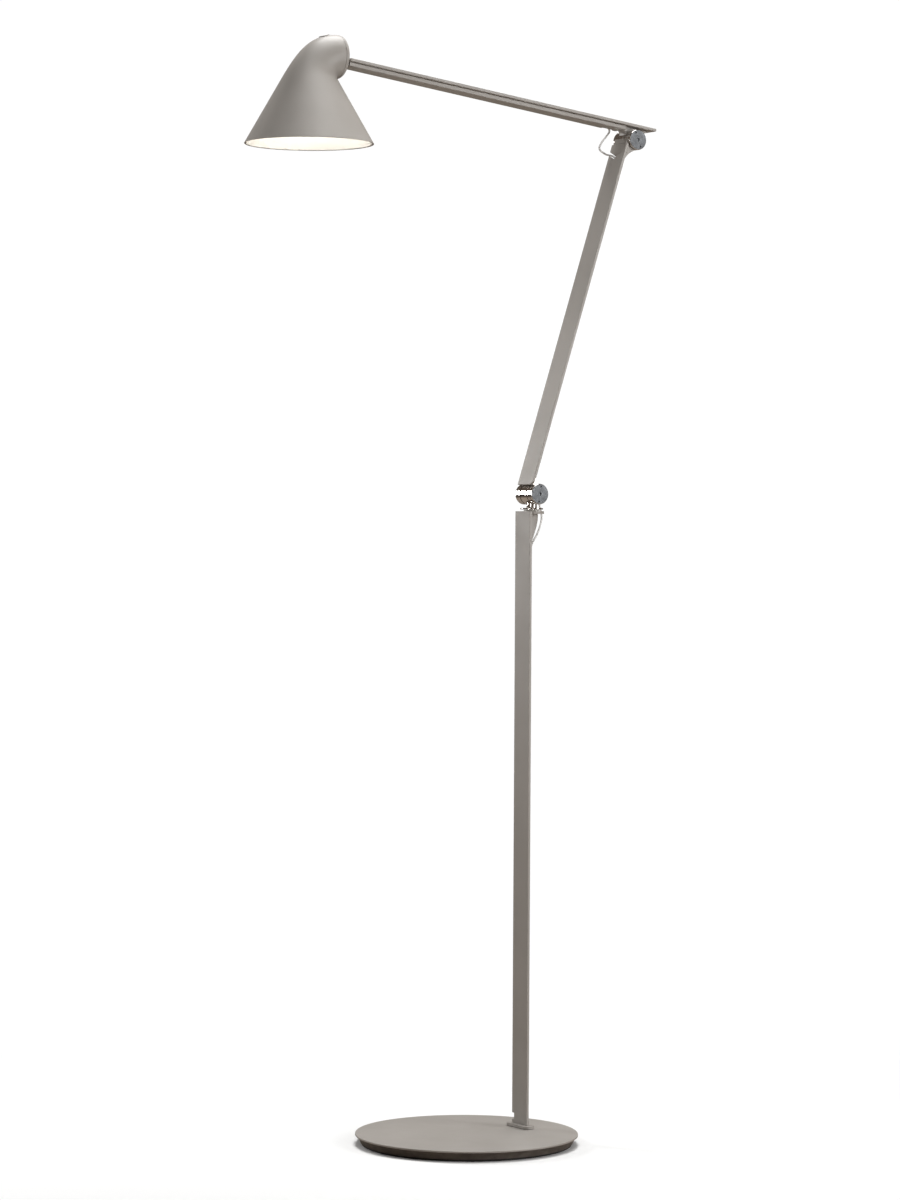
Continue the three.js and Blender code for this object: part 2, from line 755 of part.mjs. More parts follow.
// Rings of the shell, each given by its two points in the plane Y = 0. inset is how far inside
// the outer face a ring lies.
function shellRings(inset, end) {
  const sideways = inset / Math.cos(radians(shade.slope));
  const rings = [0, 0.5, 1].map((part) => {
    const z = part * shade.coneHeight;
    const r = shade.rimRadius - z * coneTan - sideways;
    return [[r, z], [-r, z]];
  });
  const steps = 8;
  for (let k = 1; k <= steps; k++) {
    const angle = (k / steps) * (Math.PI / 2);
    const near = shade.cornerRadius + inset;
    const far = shade.cornerRadius + neckWidth(angle) - inset;
    const point = (d) => [pivot.x - d * Math.cos(angle), pivot.z + d * Math.sin(angle)];
    rings.push([point(near), point(far)]);
  }
  const neckHalf = shade.neckDiameter / 2 - inset;
  rings.push([[end, neckAxisZ - neckHalf], [end, neckAxisZ + neckHalf]]);
  return rings;
}

function shell(outerInset, innerInset, end) {
  const rings = [...shellRings(outerInset, end), ...shellRings(innerInset, end).reverse()];
  const place = (u, v, target) => {
    const [near, far] = rings[Math.round(v * rings.length) % rings.length];
    const angle = -2 * Math.PI * u;
    const half = Math.hypot(far[0] - near[0], far[1] - near[1]) / 2;
    const along = Math.cos(angle);
    target.set(
      (near[0] + far[0]) / 2 + along * (far[0] - near[0]) / 2,
      Math.sin(angle) * half,
      (near[1] + far[1]) / 2 + along * (far[1] - near[1]) / 2,
    );
  };
  return toSolid(new ParametricGeometry(place, 36, rings.length));
}

const buttonAngle = radians(button.place);
const buttonOut = shade.cornerRadius + neckWidth(buttonAngle); // outside of the shell, from the pivot

// A solid made along +Z, moved so that +Z points out of the bend where the button is.
function atButton(solid) {
  const geometry = toGeometry(solid);
  geometry.rotateY(buttonAngle - Math.PI / 2);
  geometry.translate(pivot.x, 0, pivot.z);
  return geometry;
}

const neckInner = shade.neckDiameter / 2 - shade.wall;
const capJoin = shade.neckEnd - shade.capDepth; // where the cap meets the shell
const slotHalf = { y: tongueHalfWidth + 1.5, z: 11 };

function buildShade() {
  const hole = toSolid(atButton(rod('z', button.radius + gap, [buttonOut - 8, buttonOut + 8], [0, 0], 32)));
  piece('shade_shell', cut(shell(0, shade.wall, capJoin - gap), hole), finishes.paint, shadeGroup);

  const r = shade.neckDiameter / 2;
  const round = shade.capRound;
  const faceRadius = r - round;
  const faceEdge = shade.neckEnd - shade.capDome;
  const profile = [0, 0.5, 0.8].map((part) => [
    part * faceRadius,
    shade.neckEnd - shade.capDome * part ** 2,
  ]);
  for (let k = 0; k <= 5; k++) {
    const a = radians(90 - k * 18);
    profile.push([faceRadius + round * Math.cos(a), faceEdge - round + round * Math.sin(a)]);
  }
  const spigot = neckInner - gap;
  const hollow = faceEdge - 1.8;
  profile.push([r, capJoin], [spigot, capJoin], [spigot, capJoin - 4], [spigot - 1.5, capJoin - 4]);
  profile.push([spigot - 1.5, hollow - round], [faceRadius, hollow], [0, hollow]);
  const capGeometry = new THREE.LatheGeometry(
    profile.reverse().map(([x, y]) => new THREE.Vector2(x, y)), 40);
  capGeometry.rotateZ(-Math.PI / 2).translate(0, 0, neckAxisZ);
  piece('neck_cap', cut(
    toSolid(capGeometry),
    block([0, BIG], [-slotHalf.y, slotHalf.y], [neckAxisZ - slotHalf.z, neckAxisZ + slotHalf.z]),
  ), finishes.paint, shadeGroup);

  buildTiltPivot();
  buildLight();
  buildButton();
}

// The casting in the neck that holds the tilt pin on each side of the arm's eye.
function buildTiltPivot() {
  const ear = { inner: tongueHalfWidth + 1.4, outer: tongueHalfWidth + 4.6, half: 6.5 };
  const backX = pinX - eyeRadius - 4;
  const pinAt = [pinX, neckAxisZ];
  const earZ = [neckAxisZ - ear.half, neckAxisZ + ear.half];
  const ears = sides.map(([, sign]) => join(
    rod('y', ear.half, across(sign, ear.inner, ear.outer), pinAt, 32),
    block([backX - 4, pinX], across(sign, ear.inner, ear.outer), earZ),
  ));
  const leg = block([backX - 4, backX], [-5, 5], [heatSinkTop + 4, neckAxisZ]);
  const footPlate = rod('z', 9, [heatSinkTop + 0.3, heatSinkTop + 4.3], [0, 0], 32);
  const toe = block([0, backX], [-5, 5], [heatSinkTop + 0.3, heatSinkTop + 4.3]);
  piece('tilt_block', cut(
    join(
      block([backX - 4, backX], [-ear.outer, ear.outer], earZ),
      ...ears,
      leg,
      toe,
      footPlate,
    ),
    rod('y', pinRadius + gap, [-BIG, BIG], pinAt, 24),
  ), finishes.aluminium, shadeGroup);

  const pinEnd = ear.outer + 2.4;
  piece('tilt_pin', join(
    rod('y', pinRadius, [-ear.outer - 1.2, pinEnd], pinAt, 24),
    rod('y', pinRadius + 2, [ear.outer + gap, pinEnd], pinAt, 24),
  ), finishes.steel, shadeGroup);

  sides.forEach(([side, sign]) => {
    const washer = cut(
      rod('y', eyeRadius, across(sign, tongueHalfWidth + gap, ear.inner - gap), pinAt, 32),
      rod('y', pinRadius + gap, [-BIG, BIG], pinAt, 24),
    );
    piece(`tilt_washer_${side}`, washer, finishes.fibre, shadeGroup);
  });
}

const linerTop = liner.start + liner.height;
const diffuserBottom = linerTop + gap;
const boardBottom = diffuserBottom + diffuser.thickness + 2;
const sinkBottom = boardBottom + ledBoard.thickness + gap;
const heatSinkTop = sinkBottom + heatSink.height;

// Radius of the shell's inner face at a height above the rim, less a margin.
function insideCone(z, margin) {
  return shade.rimRadius - z * coneTan - (shade.wall + margin) / Math.cos(radians(shade.slope));
}

// The white reflector inside the cone, and the light source above it.
function buildLight() {
  const lip = 4;
  const low = insideCone(liner.start, liner.airGap);
  const high = insideCone(linerTop, liner.airGap);
  const outside = turned([[0, liner.start], [low, liner.start], [high, linerTop], [0, linerTop]]);
  const inside = turned([
    [0, liner.start - 1],
    [low - liner.wall + coneTan, liner.start - 1],
    [high - liner.wall + coneTan * liner.wall, linerTop - liner.wall],
    [high - lip, linerTop - liner.wall],
    [high - lip, linerTop + 1],
    [0, linerTop + 1],
  ]);
  piece('reflector', cut(outside, inside), finishes.white, shadeGroup);

  const discRadius = high - 1;
  piece('diffuser', rod('z', discRadius, [diffuserBottom, diffuserBottom + diffuser.thickness], [0, 0], 40),
    finishes.opal, shadeGroup);
  piece('led_board', rod('z', ledBoard.radius, [boardBottom, boardBottom + ledBoard.thickness], [0, 0], 48),
    finishes.board, shadeGroup);

  const pitch = (2 * heatSink.radius) / heatSink.fins;
  const slots = [];
  for (let k = 0; k < heatSink.fins; k++) {
    const y = -heatSink.radius + (k + 0.5) * pitch;
    const half = (pitch - heatSink.finThickness) / 2;
    slots.push(block([-BIG, BIG], [y - half, y + half], [sinkBottom + heatSink.base, BIG]));
  }
  const tapered = turned([
    [0, sinkBottom],
    [heatSink.radius + 3, sinkBottom],
    [heatSink.radius + 3, sinkBottom + heatSink.base],
    [heatSink.radius, sinkBottom + heatSink.base],
    [insideCone(heatSinkTop, 1), heatSinkTop],
    [0, heatSinkTop],
  ], 48);
  const hub = rod('z', 10, [sinkBottom, heatSinkTop], [0, 0], 32);
  piece('heat_sink', join(cut(tapered, ...slots), hub), finishes.aluminium, shadeGroup);

  const standX = -7;
  const boardX = [standX - driver.thickness, standX];
  const driverZ = [heatSinkTop + 5, heatSinkTop + 5 + driver.height];
  piece('driver_board', join(
    block(boardX, [-driver.width / 2, driver.width / 2], driverZ),
    block([boardX[0] - 4, boardX[0] + 0.2], [-7, 4], [driverZ[0] + 1, driverZ[0] + 7]),
    block([standX - 0.2, standX + 4], [2, 9], [driverZ[0] + 7, driverZ[0] + 13]),
  ), finishes.green, shadeGroup);
}

// A push button in the top of the bend, with a spring and a switch under it.
function buildButton() {
  const topAt = buttonOut + button.proud;
  const lipFall = (button.radius + button.lip) ** 2 / (shade.neckDiameter - 2 * shade.wall);
  const lipTop = buttonOut - shade.wall - gap - lipFall - 0.27; // the shell curves down at its edge
  const bottomAt = lipTop - button.lip - button.belowLip;
  const cap = join(
    rod('z', button.radius, [bottomAt, topAt], [0, 0], 32),
    rod('z', button.radius + button.lip, [lipTop - button.lip, lipTop], [0, 0], 32),
  );
  piece('dimmer_button', atButton(cap), finishes.paint, shadeGroup);

  const springTop = bottomAt - gap;
  const springBottom = springTop - button.spring;
  const turns = 3;
  const points = [];
  const wire = 0.35;
  const count = 30;
  for (let k = 0; k <= count; k++) {
    const a = (k / count) * turns * 2 * Math.PI;
    const height = springBottom + wire + (k / count) * (springTop - springBottom - 2 * wire);
    points.push([3.6 * Math.cos(a), 3.6 * Math.sin(a), height]);
  }
  const coil = tube(points, 36, wire);
  coil.rotateY(buttonAngle - Math.PI / 2).translate(pivot.x, 0, pivot.z);
  piece('button_spring', coil, finishes.steel, shadeGroup);

  const switchTop = springBottom - gap;
  const plunger = rod('z', 1.6, [switchTop - 0.5, switchTop + 2.4], [0, 0], 20);
  const body = block([-5, 5], [-5, 5], [switchTop - button.switchHeight, switchTop]);
  piece('switch_body', atButton(join(body, plunger)), finishes.black, shadeGroup);
}

// ---------------------------------------------------------------- cord where it crosses the hinges

// Each loop is given in the lamp's own frame, from the piece below to the piece above.
function toLamp(group, [x, y, z]) {
  const point = group.localToWorld(new THREE.Vector3(x, y, z));
  return [point.x, point.y, point.z];
}

function buildLoops() {
  lamp.updateMatrixWorld(true);
  const lowerEnd = lowerCover.start - 1; // just outside the mouth of the cover
  const behind = lowerHinge.x + hinge.radius; // the cord swings out past the barrel
  piece('lower_cord_loop', tube([
    [cordX, 0, coverTop + 1],
    [cordX + 3, 0.3, coverTop + 11],
    [behind - 9.2, 1.4, coverTop + 24],
    [behind - 2.2, 3.4, coverTop + 33],
    [behind + 3.6, 6, coverTop + 42],
    [behind + 7.2, 8, coverTop + 51],
    [behind + 7, 9, upright.top + 1],
    [behind + 3.8, 8.6, upright.top + 10],
    [behind + 2.6, 8, lowerHinge.z + 1],
    [behind + 1, 8.4, lowerHinge.z + 9],
    [behind - 3, 7.6, lowerHinge.z + 16.5],
    toLamp(lowerFrame, [lowerCordX + 1.6, 2.8, lowerEnd - 8]),
    toLamp(lowerFrame, [lowerCordX, 0, lowerEnd]),
  ], 44), finishes.cord);

  piece('lower_arm_cord', tube([
    [lowerCordX, 0, lowerEnd + 2 * gap],
    [lowerCordX, 0, lowerArm.length / 2],
    [lowerCordX, 0, lowerCover.end],
    [lowerCordX, 1.5, lowerArm.length - 33],
  ], 28), finishes.cord, lowerFrame);

  const inner = toLamp(upperFrame, [-31.5, 6.8, upperCordZ]);
  const enter = toLamp(lowerFrame, [lowerCordX, 2, lowerArm.length - 31.5]);
  const mouth = toLamp(lowerFrame, [barFaceLower, halfBar - 7, notchZ + 7 * Math.tan(radians(notch.slope))]);
  piece('elbow_cord_loop', tube([
    enter,
    [mouth[0] + 3, mouth[1] - 2.5, mouth[2] - 3.2],
    mouth,
    [mouth[0] - 7, mouth[1] + 3.4, mouth[2] + 2],
    [mouth[0] - 14, mouth[1] + 5.4, mouth[2] + 7.6],
    [mouth[0] - 10.6, mouth[1] + 6, mouth[2] + 15.4],
    [mouth[0] - 4, mouth[1] + 6, mouth[2] + 23],
    [mouth[0] - 0.8, mouth[1] + 4.6, mouth[2] + 29],
    [inner[0] + 3.6, inner[1] + 2.2, inner[2] - 0.2],
    inner,
  ], 40), finishes.cord);
}

// ---------------------------------------------------------------- the whole lamp

buildBase();
buildFoot();
buildUpright();
buildBracket();
buildSwivel();
buildLowerArm();
buildUpperArm();
buildShade();
buildLoops();

export default lamp;
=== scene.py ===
# %% [markdown]
# # A floor lamp with folding arms
#
# The lamp stands on a heavy round base. A flat bar rises from it, and two more flat bars fold on
# round friction hinges and carry a small cone shade. The engineering model is loaded first and
# never moved: it fixes every size and every hinge. All that follows gives it its surfaces.

# %% Load the fixed frame
import json
import math

import bmesh
import bpy
from mathutils import Matrix, Vector

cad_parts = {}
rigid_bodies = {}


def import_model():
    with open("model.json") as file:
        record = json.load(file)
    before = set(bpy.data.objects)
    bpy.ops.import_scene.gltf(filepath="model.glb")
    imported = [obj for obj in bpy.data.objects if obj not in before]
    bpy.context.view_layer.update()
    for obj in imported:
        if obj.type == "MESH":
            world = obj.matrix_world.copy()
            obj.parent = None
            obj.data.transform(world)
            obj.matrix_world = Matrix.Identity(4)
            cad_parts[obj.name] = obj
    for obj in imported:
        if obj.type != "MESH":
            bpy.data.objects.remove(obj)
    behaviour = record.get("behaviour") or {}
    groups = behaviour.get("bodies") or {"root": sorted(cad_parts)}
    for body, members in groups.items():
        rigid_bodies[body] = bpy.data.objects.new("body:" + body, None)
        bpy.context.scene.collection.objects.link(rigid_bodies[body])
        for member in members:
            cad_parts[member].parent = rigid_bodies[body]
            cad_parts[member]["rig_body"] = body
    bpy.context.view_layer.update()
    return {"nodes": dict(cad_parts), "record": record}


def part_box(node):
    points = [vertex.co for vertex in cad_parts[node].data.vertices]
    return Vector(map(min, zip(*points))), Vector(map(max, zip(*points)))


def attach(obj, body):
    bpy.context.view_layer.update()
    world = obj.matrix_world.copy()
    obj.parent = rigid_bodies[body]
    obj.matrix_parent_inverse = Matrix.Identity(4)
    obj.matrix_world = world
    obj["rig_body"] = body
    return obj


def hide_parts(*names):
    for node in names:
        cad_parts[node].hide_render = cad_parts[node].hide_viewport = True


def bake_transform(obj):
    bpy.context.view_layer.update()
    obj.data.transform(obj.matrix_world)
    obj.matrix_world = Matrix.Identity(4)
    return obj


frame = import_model()
MM = 0.001
GAP = 0.3                         # millimetres between pieces that touch
nodes = frame["nodes"]
slot_of = {part["node"]: part["material_slot"] for part in frame["record"]["subparts"]}
print("loaded", len(nodes), "nodes")

# %% [markdown]
# ## The camera
#
# The lamp is seen from a low stand, about four metres off and a third of a turn round from the
# plane in which the arms fold. From so far the two ends of the lamp keep their true proportions.
# A long lens does that best: the alternative, a short lens close by, would swell the shade.

# %% Place the camera
TURN = math.radians(32.568)      # round from straight in front of the folding plane
STAND_OFF = 4.04923              # metres from the lamp's axis
EYE_HEIGHT = 0.67980
LENS = 108.606                   # on a 36 mm sensor
YAW = math.radians(0.30667)      # the last three turn the camera on its stand
PITCH = math.radians(-0.99882)
ROLL_OVER = math.radians(0.30450)


def stand_camera():
    data = bpy.data.cameras.new("camera")
    data.lens = LENS
    data.clip_end = 50
    camera = bpy.data.objects.new("camera", data)
    bpy.context.scene.collection.objects.link(camera)
    heading = math.pi / 2 - TURN + YAW
    ahead = Vector((math.cos(heading) * math.cos(PITCH), math.sin(heading) * math.cos(PITCH),
                    math.sin(PITCH)))
    right = Vector((math.sin(heading), -math.cos(heading), 0))
    up = right.cross(ahead)
    across = right * math.cos(ROLL_OVER) + up * math.sin(ROLL_OVER)
    upright = up * math.cos(ROLL_OVER) - right * math.sin(ROLL_OVER)
    turn = Matrix((across, upright, -ahead)).transposed()
    place = Vector((-math.sin(TURN) * STAND_OFF, -math.cos(TURN) * STAND_OFF, EYE_HEIGHT))
    camera.matrix_world = Matrix.Translation(place) @ turn.to_4x4()
    bpy.context.scene.camera = camera
    return camera


camera = stand_camera()
print("camera at", tuple(round(v, 3) for v in camera.location), "lens", LENS)

# %% [markdown]
# ## Helpers for meshes
#
# Most of this lamp is turned, bent or sawn metal, so three ways of making a mesh do nearly all of
# it. A turned piece is a profile spun round its axis. A sawn piece is a copy of the engineering
# solid with its outer edges broken by a bevel. A cord is a round section swept along a smooth line.
# Each helper makes its mesh with bmesh, which keeps faces and edges within easy reach.

# %% Wrap a bmesh as an object
SMOOTH_LIMIT = math.radians(34)  # faces that meet at less than this are shaded as one surface


def as_object(name, bm, origin=(0, 0, 0)):
    mesh = bpy.data.meshes.new(name)
    bmesh.ops.translate(bm, vec=-Vector(origin), verts=bm.verts)
    bm.to_mesh(mesh)
    bm.free()
    if "custom_normal" in mesh.attributes:
        mesh.attributes.remove(mesh.attributes["custom_normal"])
    mesh.shade_smooth()
    mesh.set_sharp_from_angle(angle=SMOOTH_LIMIT)
    thing = bpy.data.objects.new(name, mesh)
    thing.location = origin
    bpy.context.scene.collection.objects.link(thing)
    return thing


# %% Round the corners of a profile
def rounded(corners, steps=4):
    """Corners are (radius, height) or (radius, height, rounding). The rounded ones become arcs."""
    made = []
    for k, corner in enumerate(corners):
        here = Vector(corner[:2])
        size = corner[2] if len(corner) > 2 else 0
        if not size or k in (0, len(corners) - 1):
            made.append(here)
            continue
        back = (Vector(corners[k - 1][:2]) - here).normalized()
        on = (Vector(corners[k + 1][:2]) - here).normalized()
        half = back.angle(on) / 2
        reach = size / math.tan(half)
        centre = here + (back + on).normalized() * (size / math.sin(half))
        start, end = here + back * reach - centre, here + on * reach - centre
        for step in range(steps + 1):
            made.append(centre + start.slerp(end, step / steps) * size)
    return made


# %% Spin a profile
def turned(name, corners, axis="Z", centre=(0, 0, 0), segments=96, hollow=False):
    """A profile of (radius, height) in millimetres, spun about an axis through centre, in metres.

    A hollow profile is a closed loop that stays off the axis. Any other starts and ends on it."""
    bm = bmesh.new()
    rings = []
    for radius, height in rounded(corners):
        count = 1 if radius < 1e-6 else segments
        ring = []
        for k in range(count):
            angle = 2 * math.pi * k / segments
            a, b = radius * math.cos(angle) * MM, radius * math.sin(angle) * MM
            h = height * MM
            place = {"Z": (a, b, h), "X": (h, a, b)}[axis]
            ring.append(bm.verts.new(Vector(place) + Vector(centre)))
        rings.append(ring)
    pairs = list(zip(rings, rings[1:]))
    if hollow:
        pairs.append((rings[-1], rings[0]))
    for low, high in pairs:
        for k in range(segments):
            loop = [low[k % len(low)], low[(k + 1) % len(low)],
                    high[(k + 1) % len(high)], high[k % len(high)]]
            loop = [v for i, v in enumerate(loop) if v is not loop[i - 1]]
            if len(loop) > 2:
                bm.faces.new(loop)
    bmesh.ops.recalc_face_normals(bm, faces=bm.faces)
    return as_object(name, bm, centre)


# %% Break the edges of a sawn piece
EDGE_FROM = math.radians(35)     # an edge turns at least this much


def dressed(node, edge, origin=(0, 0, 0), steps=2):
    """A copy of an engineering solid with its outer edges broken by so many millimetres.

    Inner corners stay sharp: a bevel fills them, and the next piece may pass close by."""
    bm = bmesh.new()
    bm.from_mesh(nodes[node].data)
    bmesh.ops.remove_doubles(bm, verts=bm.verts, dist=2e-6)
    bmesh.ops.dissolve_limit(bm, angle_limit=math.radians(0.5), verts=bm.verts, edges=bm.edges)
    bmesh.ops.recalc_face_normals(bm, faces=bm.faces)
    weight = bm.edges.layers.float.new("bevel_weight_edge")
    for side in bm.edges:
        outer = side.is_manifold and side.is_convex
        side[weight] = float(outer and side.calc_face_angle() > EDGE_FROM)
    piece = as_object(f"{node}_dressed", bm, origin)
    bevel = piece.modifiers.new("broken edges", "BEVEL")
    bevel.width = edge * MM
    bevel.segments = steps
    bevel.limit_method = "WEIGHT"
    bevel.miter_outer = "MITER_ARC"
    bevel.harden_normals = True
    return piece


# %% Cut one shape out of another
def cut_away(piece, tool):
    cutter = piece.modifiers.new("cut", "BOOLEAN")
    cutter.object = tool
    cutter.solver = "EXACT"
    whole = piece.evaluated_get(bpy.context.evaluated_depsgraph_get())
    piece.data = bpy.data.meshes.new_from_object(whole)
    piece.modifiers.clear()
    bpy.data.objects.remove(tool)
    piece.data.shade_smooth()
    piece.data.set_sharp_from_angle(angle=SMOOTH_LIMIT)
    return piece


def block(name, low, high):
    """A plain box between two corners in metres, only ever used as a cutting tool."""
    bm = bmesh.new()
    bmesh.ops.create_cube(bm, size=1)
    size = Vector(high) - Vector(low)
    bmesh.ops.scale(bm, vec=size, verts=bm.verts)
    bmesh.ops.translate(bm, vec=Vector(low) + size / 2, verts=bm.verts)
    return as_object(name, bm)


# %% [markdown]
# ## The cord
#
# A thin mains lead comes out of the upright's cover, swings out behind the lower hinge with room
# for the swivel to turn, and goes into the lower arm. It comes out again through a slot below the
# elbow, makes a small loop there and goes into the upper arm. A curve object with a bevel would
# do as well; each loop is swept as a mesh tube along a smooth line through its route. The lower
# loop crosses two joints, so it is two lengths that meet beside the swivel.

# %% Sweep a tube along a smooth line
CORD = 2.2                        # diameter in millimetres
PER_SPAN = 6                      # steps from each point of a route to the next


def smooth_line(points, per_span=PER_SPAN):
    """Points along a curve that passes smoothly through the given ones."""
    ends = [points[0] * 2 - points[1], *points, points[-1] * 2 - points[-2]]
    line = [points[0]]
    for a, b, c, d in zip(ends, ends[1:], ends[2:], ends[3:]):
        for step in range(1, per_span + 1):
            t = step / per_span
            line.append(0.5 * (2 * b + (c - a) * t + (2 * a - 5 * b + 4 * c - d) * t ** 2
                               + (3 * b - a - 3 * c + d) * t ** 3))
    return line


def swept(name, line, diameter, sides=14):
    bm = bmesh.new()
    rings = []
    side = Vector((0, 1, 0))
    for k, point in enumerate(line):
        ahead = (line[min(k + 1, len(line) - 1)] - line[max(k - 1, 0)]).normalized()
        side = (side - ahead * side.dot(ahead)).normalized()
        other = ahead.cross(side)
        ring = []
        for i in range(sides):
            angle = 2 * math.pi * i / sides
            out = side * math.cos(angle) + other * math.sin(angle)
            ring.append(bm.verts.new(point + out * diameter / 2 * MM))
        rings.append(ring)
    for low, high in zip(rings, rings[1:]):
        for i in range(sides):
            bm.faces.new((low[i - 1], low[i], high[i], high[i - 1]))
    bm.faces.new(rings[0])
    bm.faces.new(rings[-1])
    bmesh.ops.recalc_face_normals(bm, faces=bm.faces)
    return as_object(name, bm)


# %% Lay the cord's route
LOWER_LOOP = [Vector(p) * MM for p in (
    (75.9, 0, 651), (78.9, 0.3, 661), (85.3, 1.4, 674), (92.3, 3.4, 683), (98.1, 6, 692),
    (101.7, 8, 701), (101.5, 9, 710.3), (98.3, 8.6, 719.3), (97.1, 8, 729.6), (95.5, 8.4, 737.6),
    (91.5, 7.6, 745.1), (85.3, 2.8, 754.1), (86.25, 0, 762.2),
)]
ELBOW_LOOP = [Vector(p) * MM for p in (
    (198.42, 2, 1107.44), (199.13, 5.5, 1114.33), (196.13, 8, 1117.53), (189.13, 11.4, 1119.53),
    (182.13, 13.4, 1125.13), (185.53, 14, 1132.93), (192.13, 14, 1140.53),
    (195.33, 12.6, 1146.53), (188.88, 9, 1151.18), (185.28, 6.8, 1151.38),
)]


def free_cord(name, line, bodies, bends, *stands_for):
    """A cord swept along the line, hiding the nodes it stands for. bodies and bends are not used.
    """
    tube = swept(name, line, CORD)
    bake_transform(tube)
    if stands_for:
        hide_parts(*stands_for)
    return tube


MEETING = 6 * PER_SPAN            # the step of the smooth line beside the swivel
lower_line = smooth_line(LOWER_LOOP)
elbow_line = smooth_line(ELBOW_LOOP)
below = lower_line[:MEETING + 1]
above = lower_line[MEETING:]
WHOLE, ABOVE_BENDS, ELBOW_BENDS = (0, -1), (8, -6), (14, -8)     # first and last step that bends
cords = [
    free_cord("cord_below_swivel", below, ("base", "swivel"), WHOLE, "lower_cord_loop"),
    free_cord("cord_above_swivel", above, ("swivel", "lower_arm"), ABOVE_BENDS),
    free_cord("cord_at_elbow", elbow_line, ("lower_arm", "upper_arm"), ELBOW_BENDS,
              "elbow_cord_loop"),
]

# %% [markdown]
# ## Finishes
#
# Every surface of the real lamp has some life in it: powder coat has a fine orange peel and soft
# mottling, chrome has faint wipe marks, a turned cap has rings from the tool, and cast iron is
# pitted under its lacquer. A picture could hold all that, but noise computed in the material
# needs no picture, never repeats and stays sharp close up. One helper lays down what all the
# finishes share, two tones blended by a broad noise and a fine noise for the grain. Each finish
# then sets its own numbers and adds what is its own.

# %% Start a finish
def start_finish(name, roughness, metallic=0.0):
    material = bpy.data.materials.new(name)
    material.use_nodes = True
    tree = material.node_tree
    shader = tree.nodes["Principled BSDF"]
    shader.inputs["Roughness"].default_value = roughness
    shader.inputs["Metallic"].default_value = metallic
    return material, tree, shader


def add(tree, kind, **settings):
    made = tree.nodes.new(kind)
    for key, value in settings.items():
        setattr(made, key, value)
    return made


def noise(tree, scale, detail=3.0, stretch=(1, 1, 1)):
    """Noise in the piece's own coordinates, in cells per metre. stretch squeezes each axis."""
    coordinates = add(tree, "ShaderNodeTexCoord")
    mapping = add(tree, "ShaderNodeMapping")
    mapping.inputs["Scale"].default_value = stretch
    texture = add(tree, "ShaderNodeTexNoise")
    texture.inputs["Scale"].default_value = scale
    texture.inputs["Detail"].default_value = detail
    tree.links.new(coordinates.outputs["Object"], mapping.inputs["Vector"])
    tree.links.new(mapping.outputs["Vector"], texture.inputs["Vector"])
    return texture.outputs["Fac"]


def ramp(tree, value, low, high, colour_low, colour_high):
    """Maps a value to a colour, or to a grey, between two limits."""
    made = add(tree, "ShaderNodeValToRGB")
    stops = made.color_ramp.elements
    for stop, place, colour in zip(stops, (low, high), (colour_low, colour_high)):
        stop.position = place
        stop.color = (*colour, 1) if hasattr(colour, "__len__") else (colour,) * 3 + (1,)
    tree.links.new(value, made.inputs["Fac"])
    return made.outputs["Color"]


def bump(tree, shader, height, strength, distance):
    made = add(tree, "ShaderNodeBump")
    made.inputs["Strength"].default_value = strength
    made.inputs["Distance"].default_value = distance
    tree.links.new(height, made.inputs["Height"])
    tree.links.new(made.outputs["Normal"], shader.inputs["Normal"])


def surface(name, dark, light, roughness, metallic=0.0, mottle=25, spread=0.08,
            grain=1500, depth=0.00002, strength=0.3, stretch=(1, 1, 1)):
    """Two tones and a grain. spread is how much the roughness varies about its middle."""
    material, tree, shader = start_finish(name, roughness, metallic)
    broad = noise(tree, mottle, stretch=stretch)
    tree.links.new(ramp(tree, broad, 0.35, 0.65, dark, light), shader.inputs["Base Color"])
    smudge = noise(tree, mottle * 2.7)
    tree.links.new(ramp(tree, smudge, 0.3, 0.7, roughness * (1 - spread), roughness * (1 + spread)),
                   shader.inputs["Roughness"])
    bump(tree, shader, noise(tree, grain, 2.0, stretch), strength, depth)
    return material


# %% Mix the finishes
finishes = {
    "paint": surface("satin powder coat", (0.385, 0.360, 0.331), (0.412, 0.386, 0.357), 0.46,
                     mottle=14, grain=1900, strength=0.22, depth=0.00003),
    "chrome": surface("polished chrome", (0.60, 0.575, 0.55), (0.66, 0.635, 0.61), 0.08, 1.0,
                      mottle=60, spread=0.35, grain=900, strength=0.04),
    "black_steel": surface("black oxide", (0.035, 0.033, 0.031), (0.055, 0.051, 0.047), 0.46, 0.6,
                           mottle=120),
    "iron": surface("lacquered cast iron", (0.10, 0.088, 0.078), (0.15, 0.134, 0.12), 0.42, 0.1,
                    mottle=90, grain=700, strength=0.6, depth=0.00006),
    "rubber": surface("ribbed rubber", (0.013, 0.013, 0.013), (0.024, 0.024, 0.023), 0.85,
                      mottle=200, grain=1200, strength=0.5),
    "nylon": surface("natural nylon", (0.70, 0.67, 0.60), (0.79, 0.76, 0.69), 0.45, mottle=160),
    "fibre": surface("red fibre", (0.15, 0.033, 0.018), (0.24, 0.055, 0.03), 0.8, mottle=500,
                     stretch=(1, 0.2, 1), grain=2500, strength=0.5),
    "cord": surface("pale cord jacket", (0.86, 0.85, 0.83), (0.92, 0.91, 0.895), 0.42,
                    mottle=220, grain=2600, strength=0.15),
    "white": surface("white enamel", (0.86, 0.845, 0.80), (0.90, 0.885, 0.845), 0.38,
                     mottle=30, grain=1700, strength=0.15),
    "aluminium": surface("cast aluminium", (0.42, 0.43, 0.44), (0.52, 0.53, 0.545), 0.42, 1.0,
                         mottle=220, grain=1400, strength=0.5),
    "black": surface("moulded black plastic", (0.011, 0.011, 0.012), (0.017, 0.017, 0.018), 0.5,
                     mottle=300, grain=2400, strength=0.4),
}
print("mixed", len(finishes), "finishes")

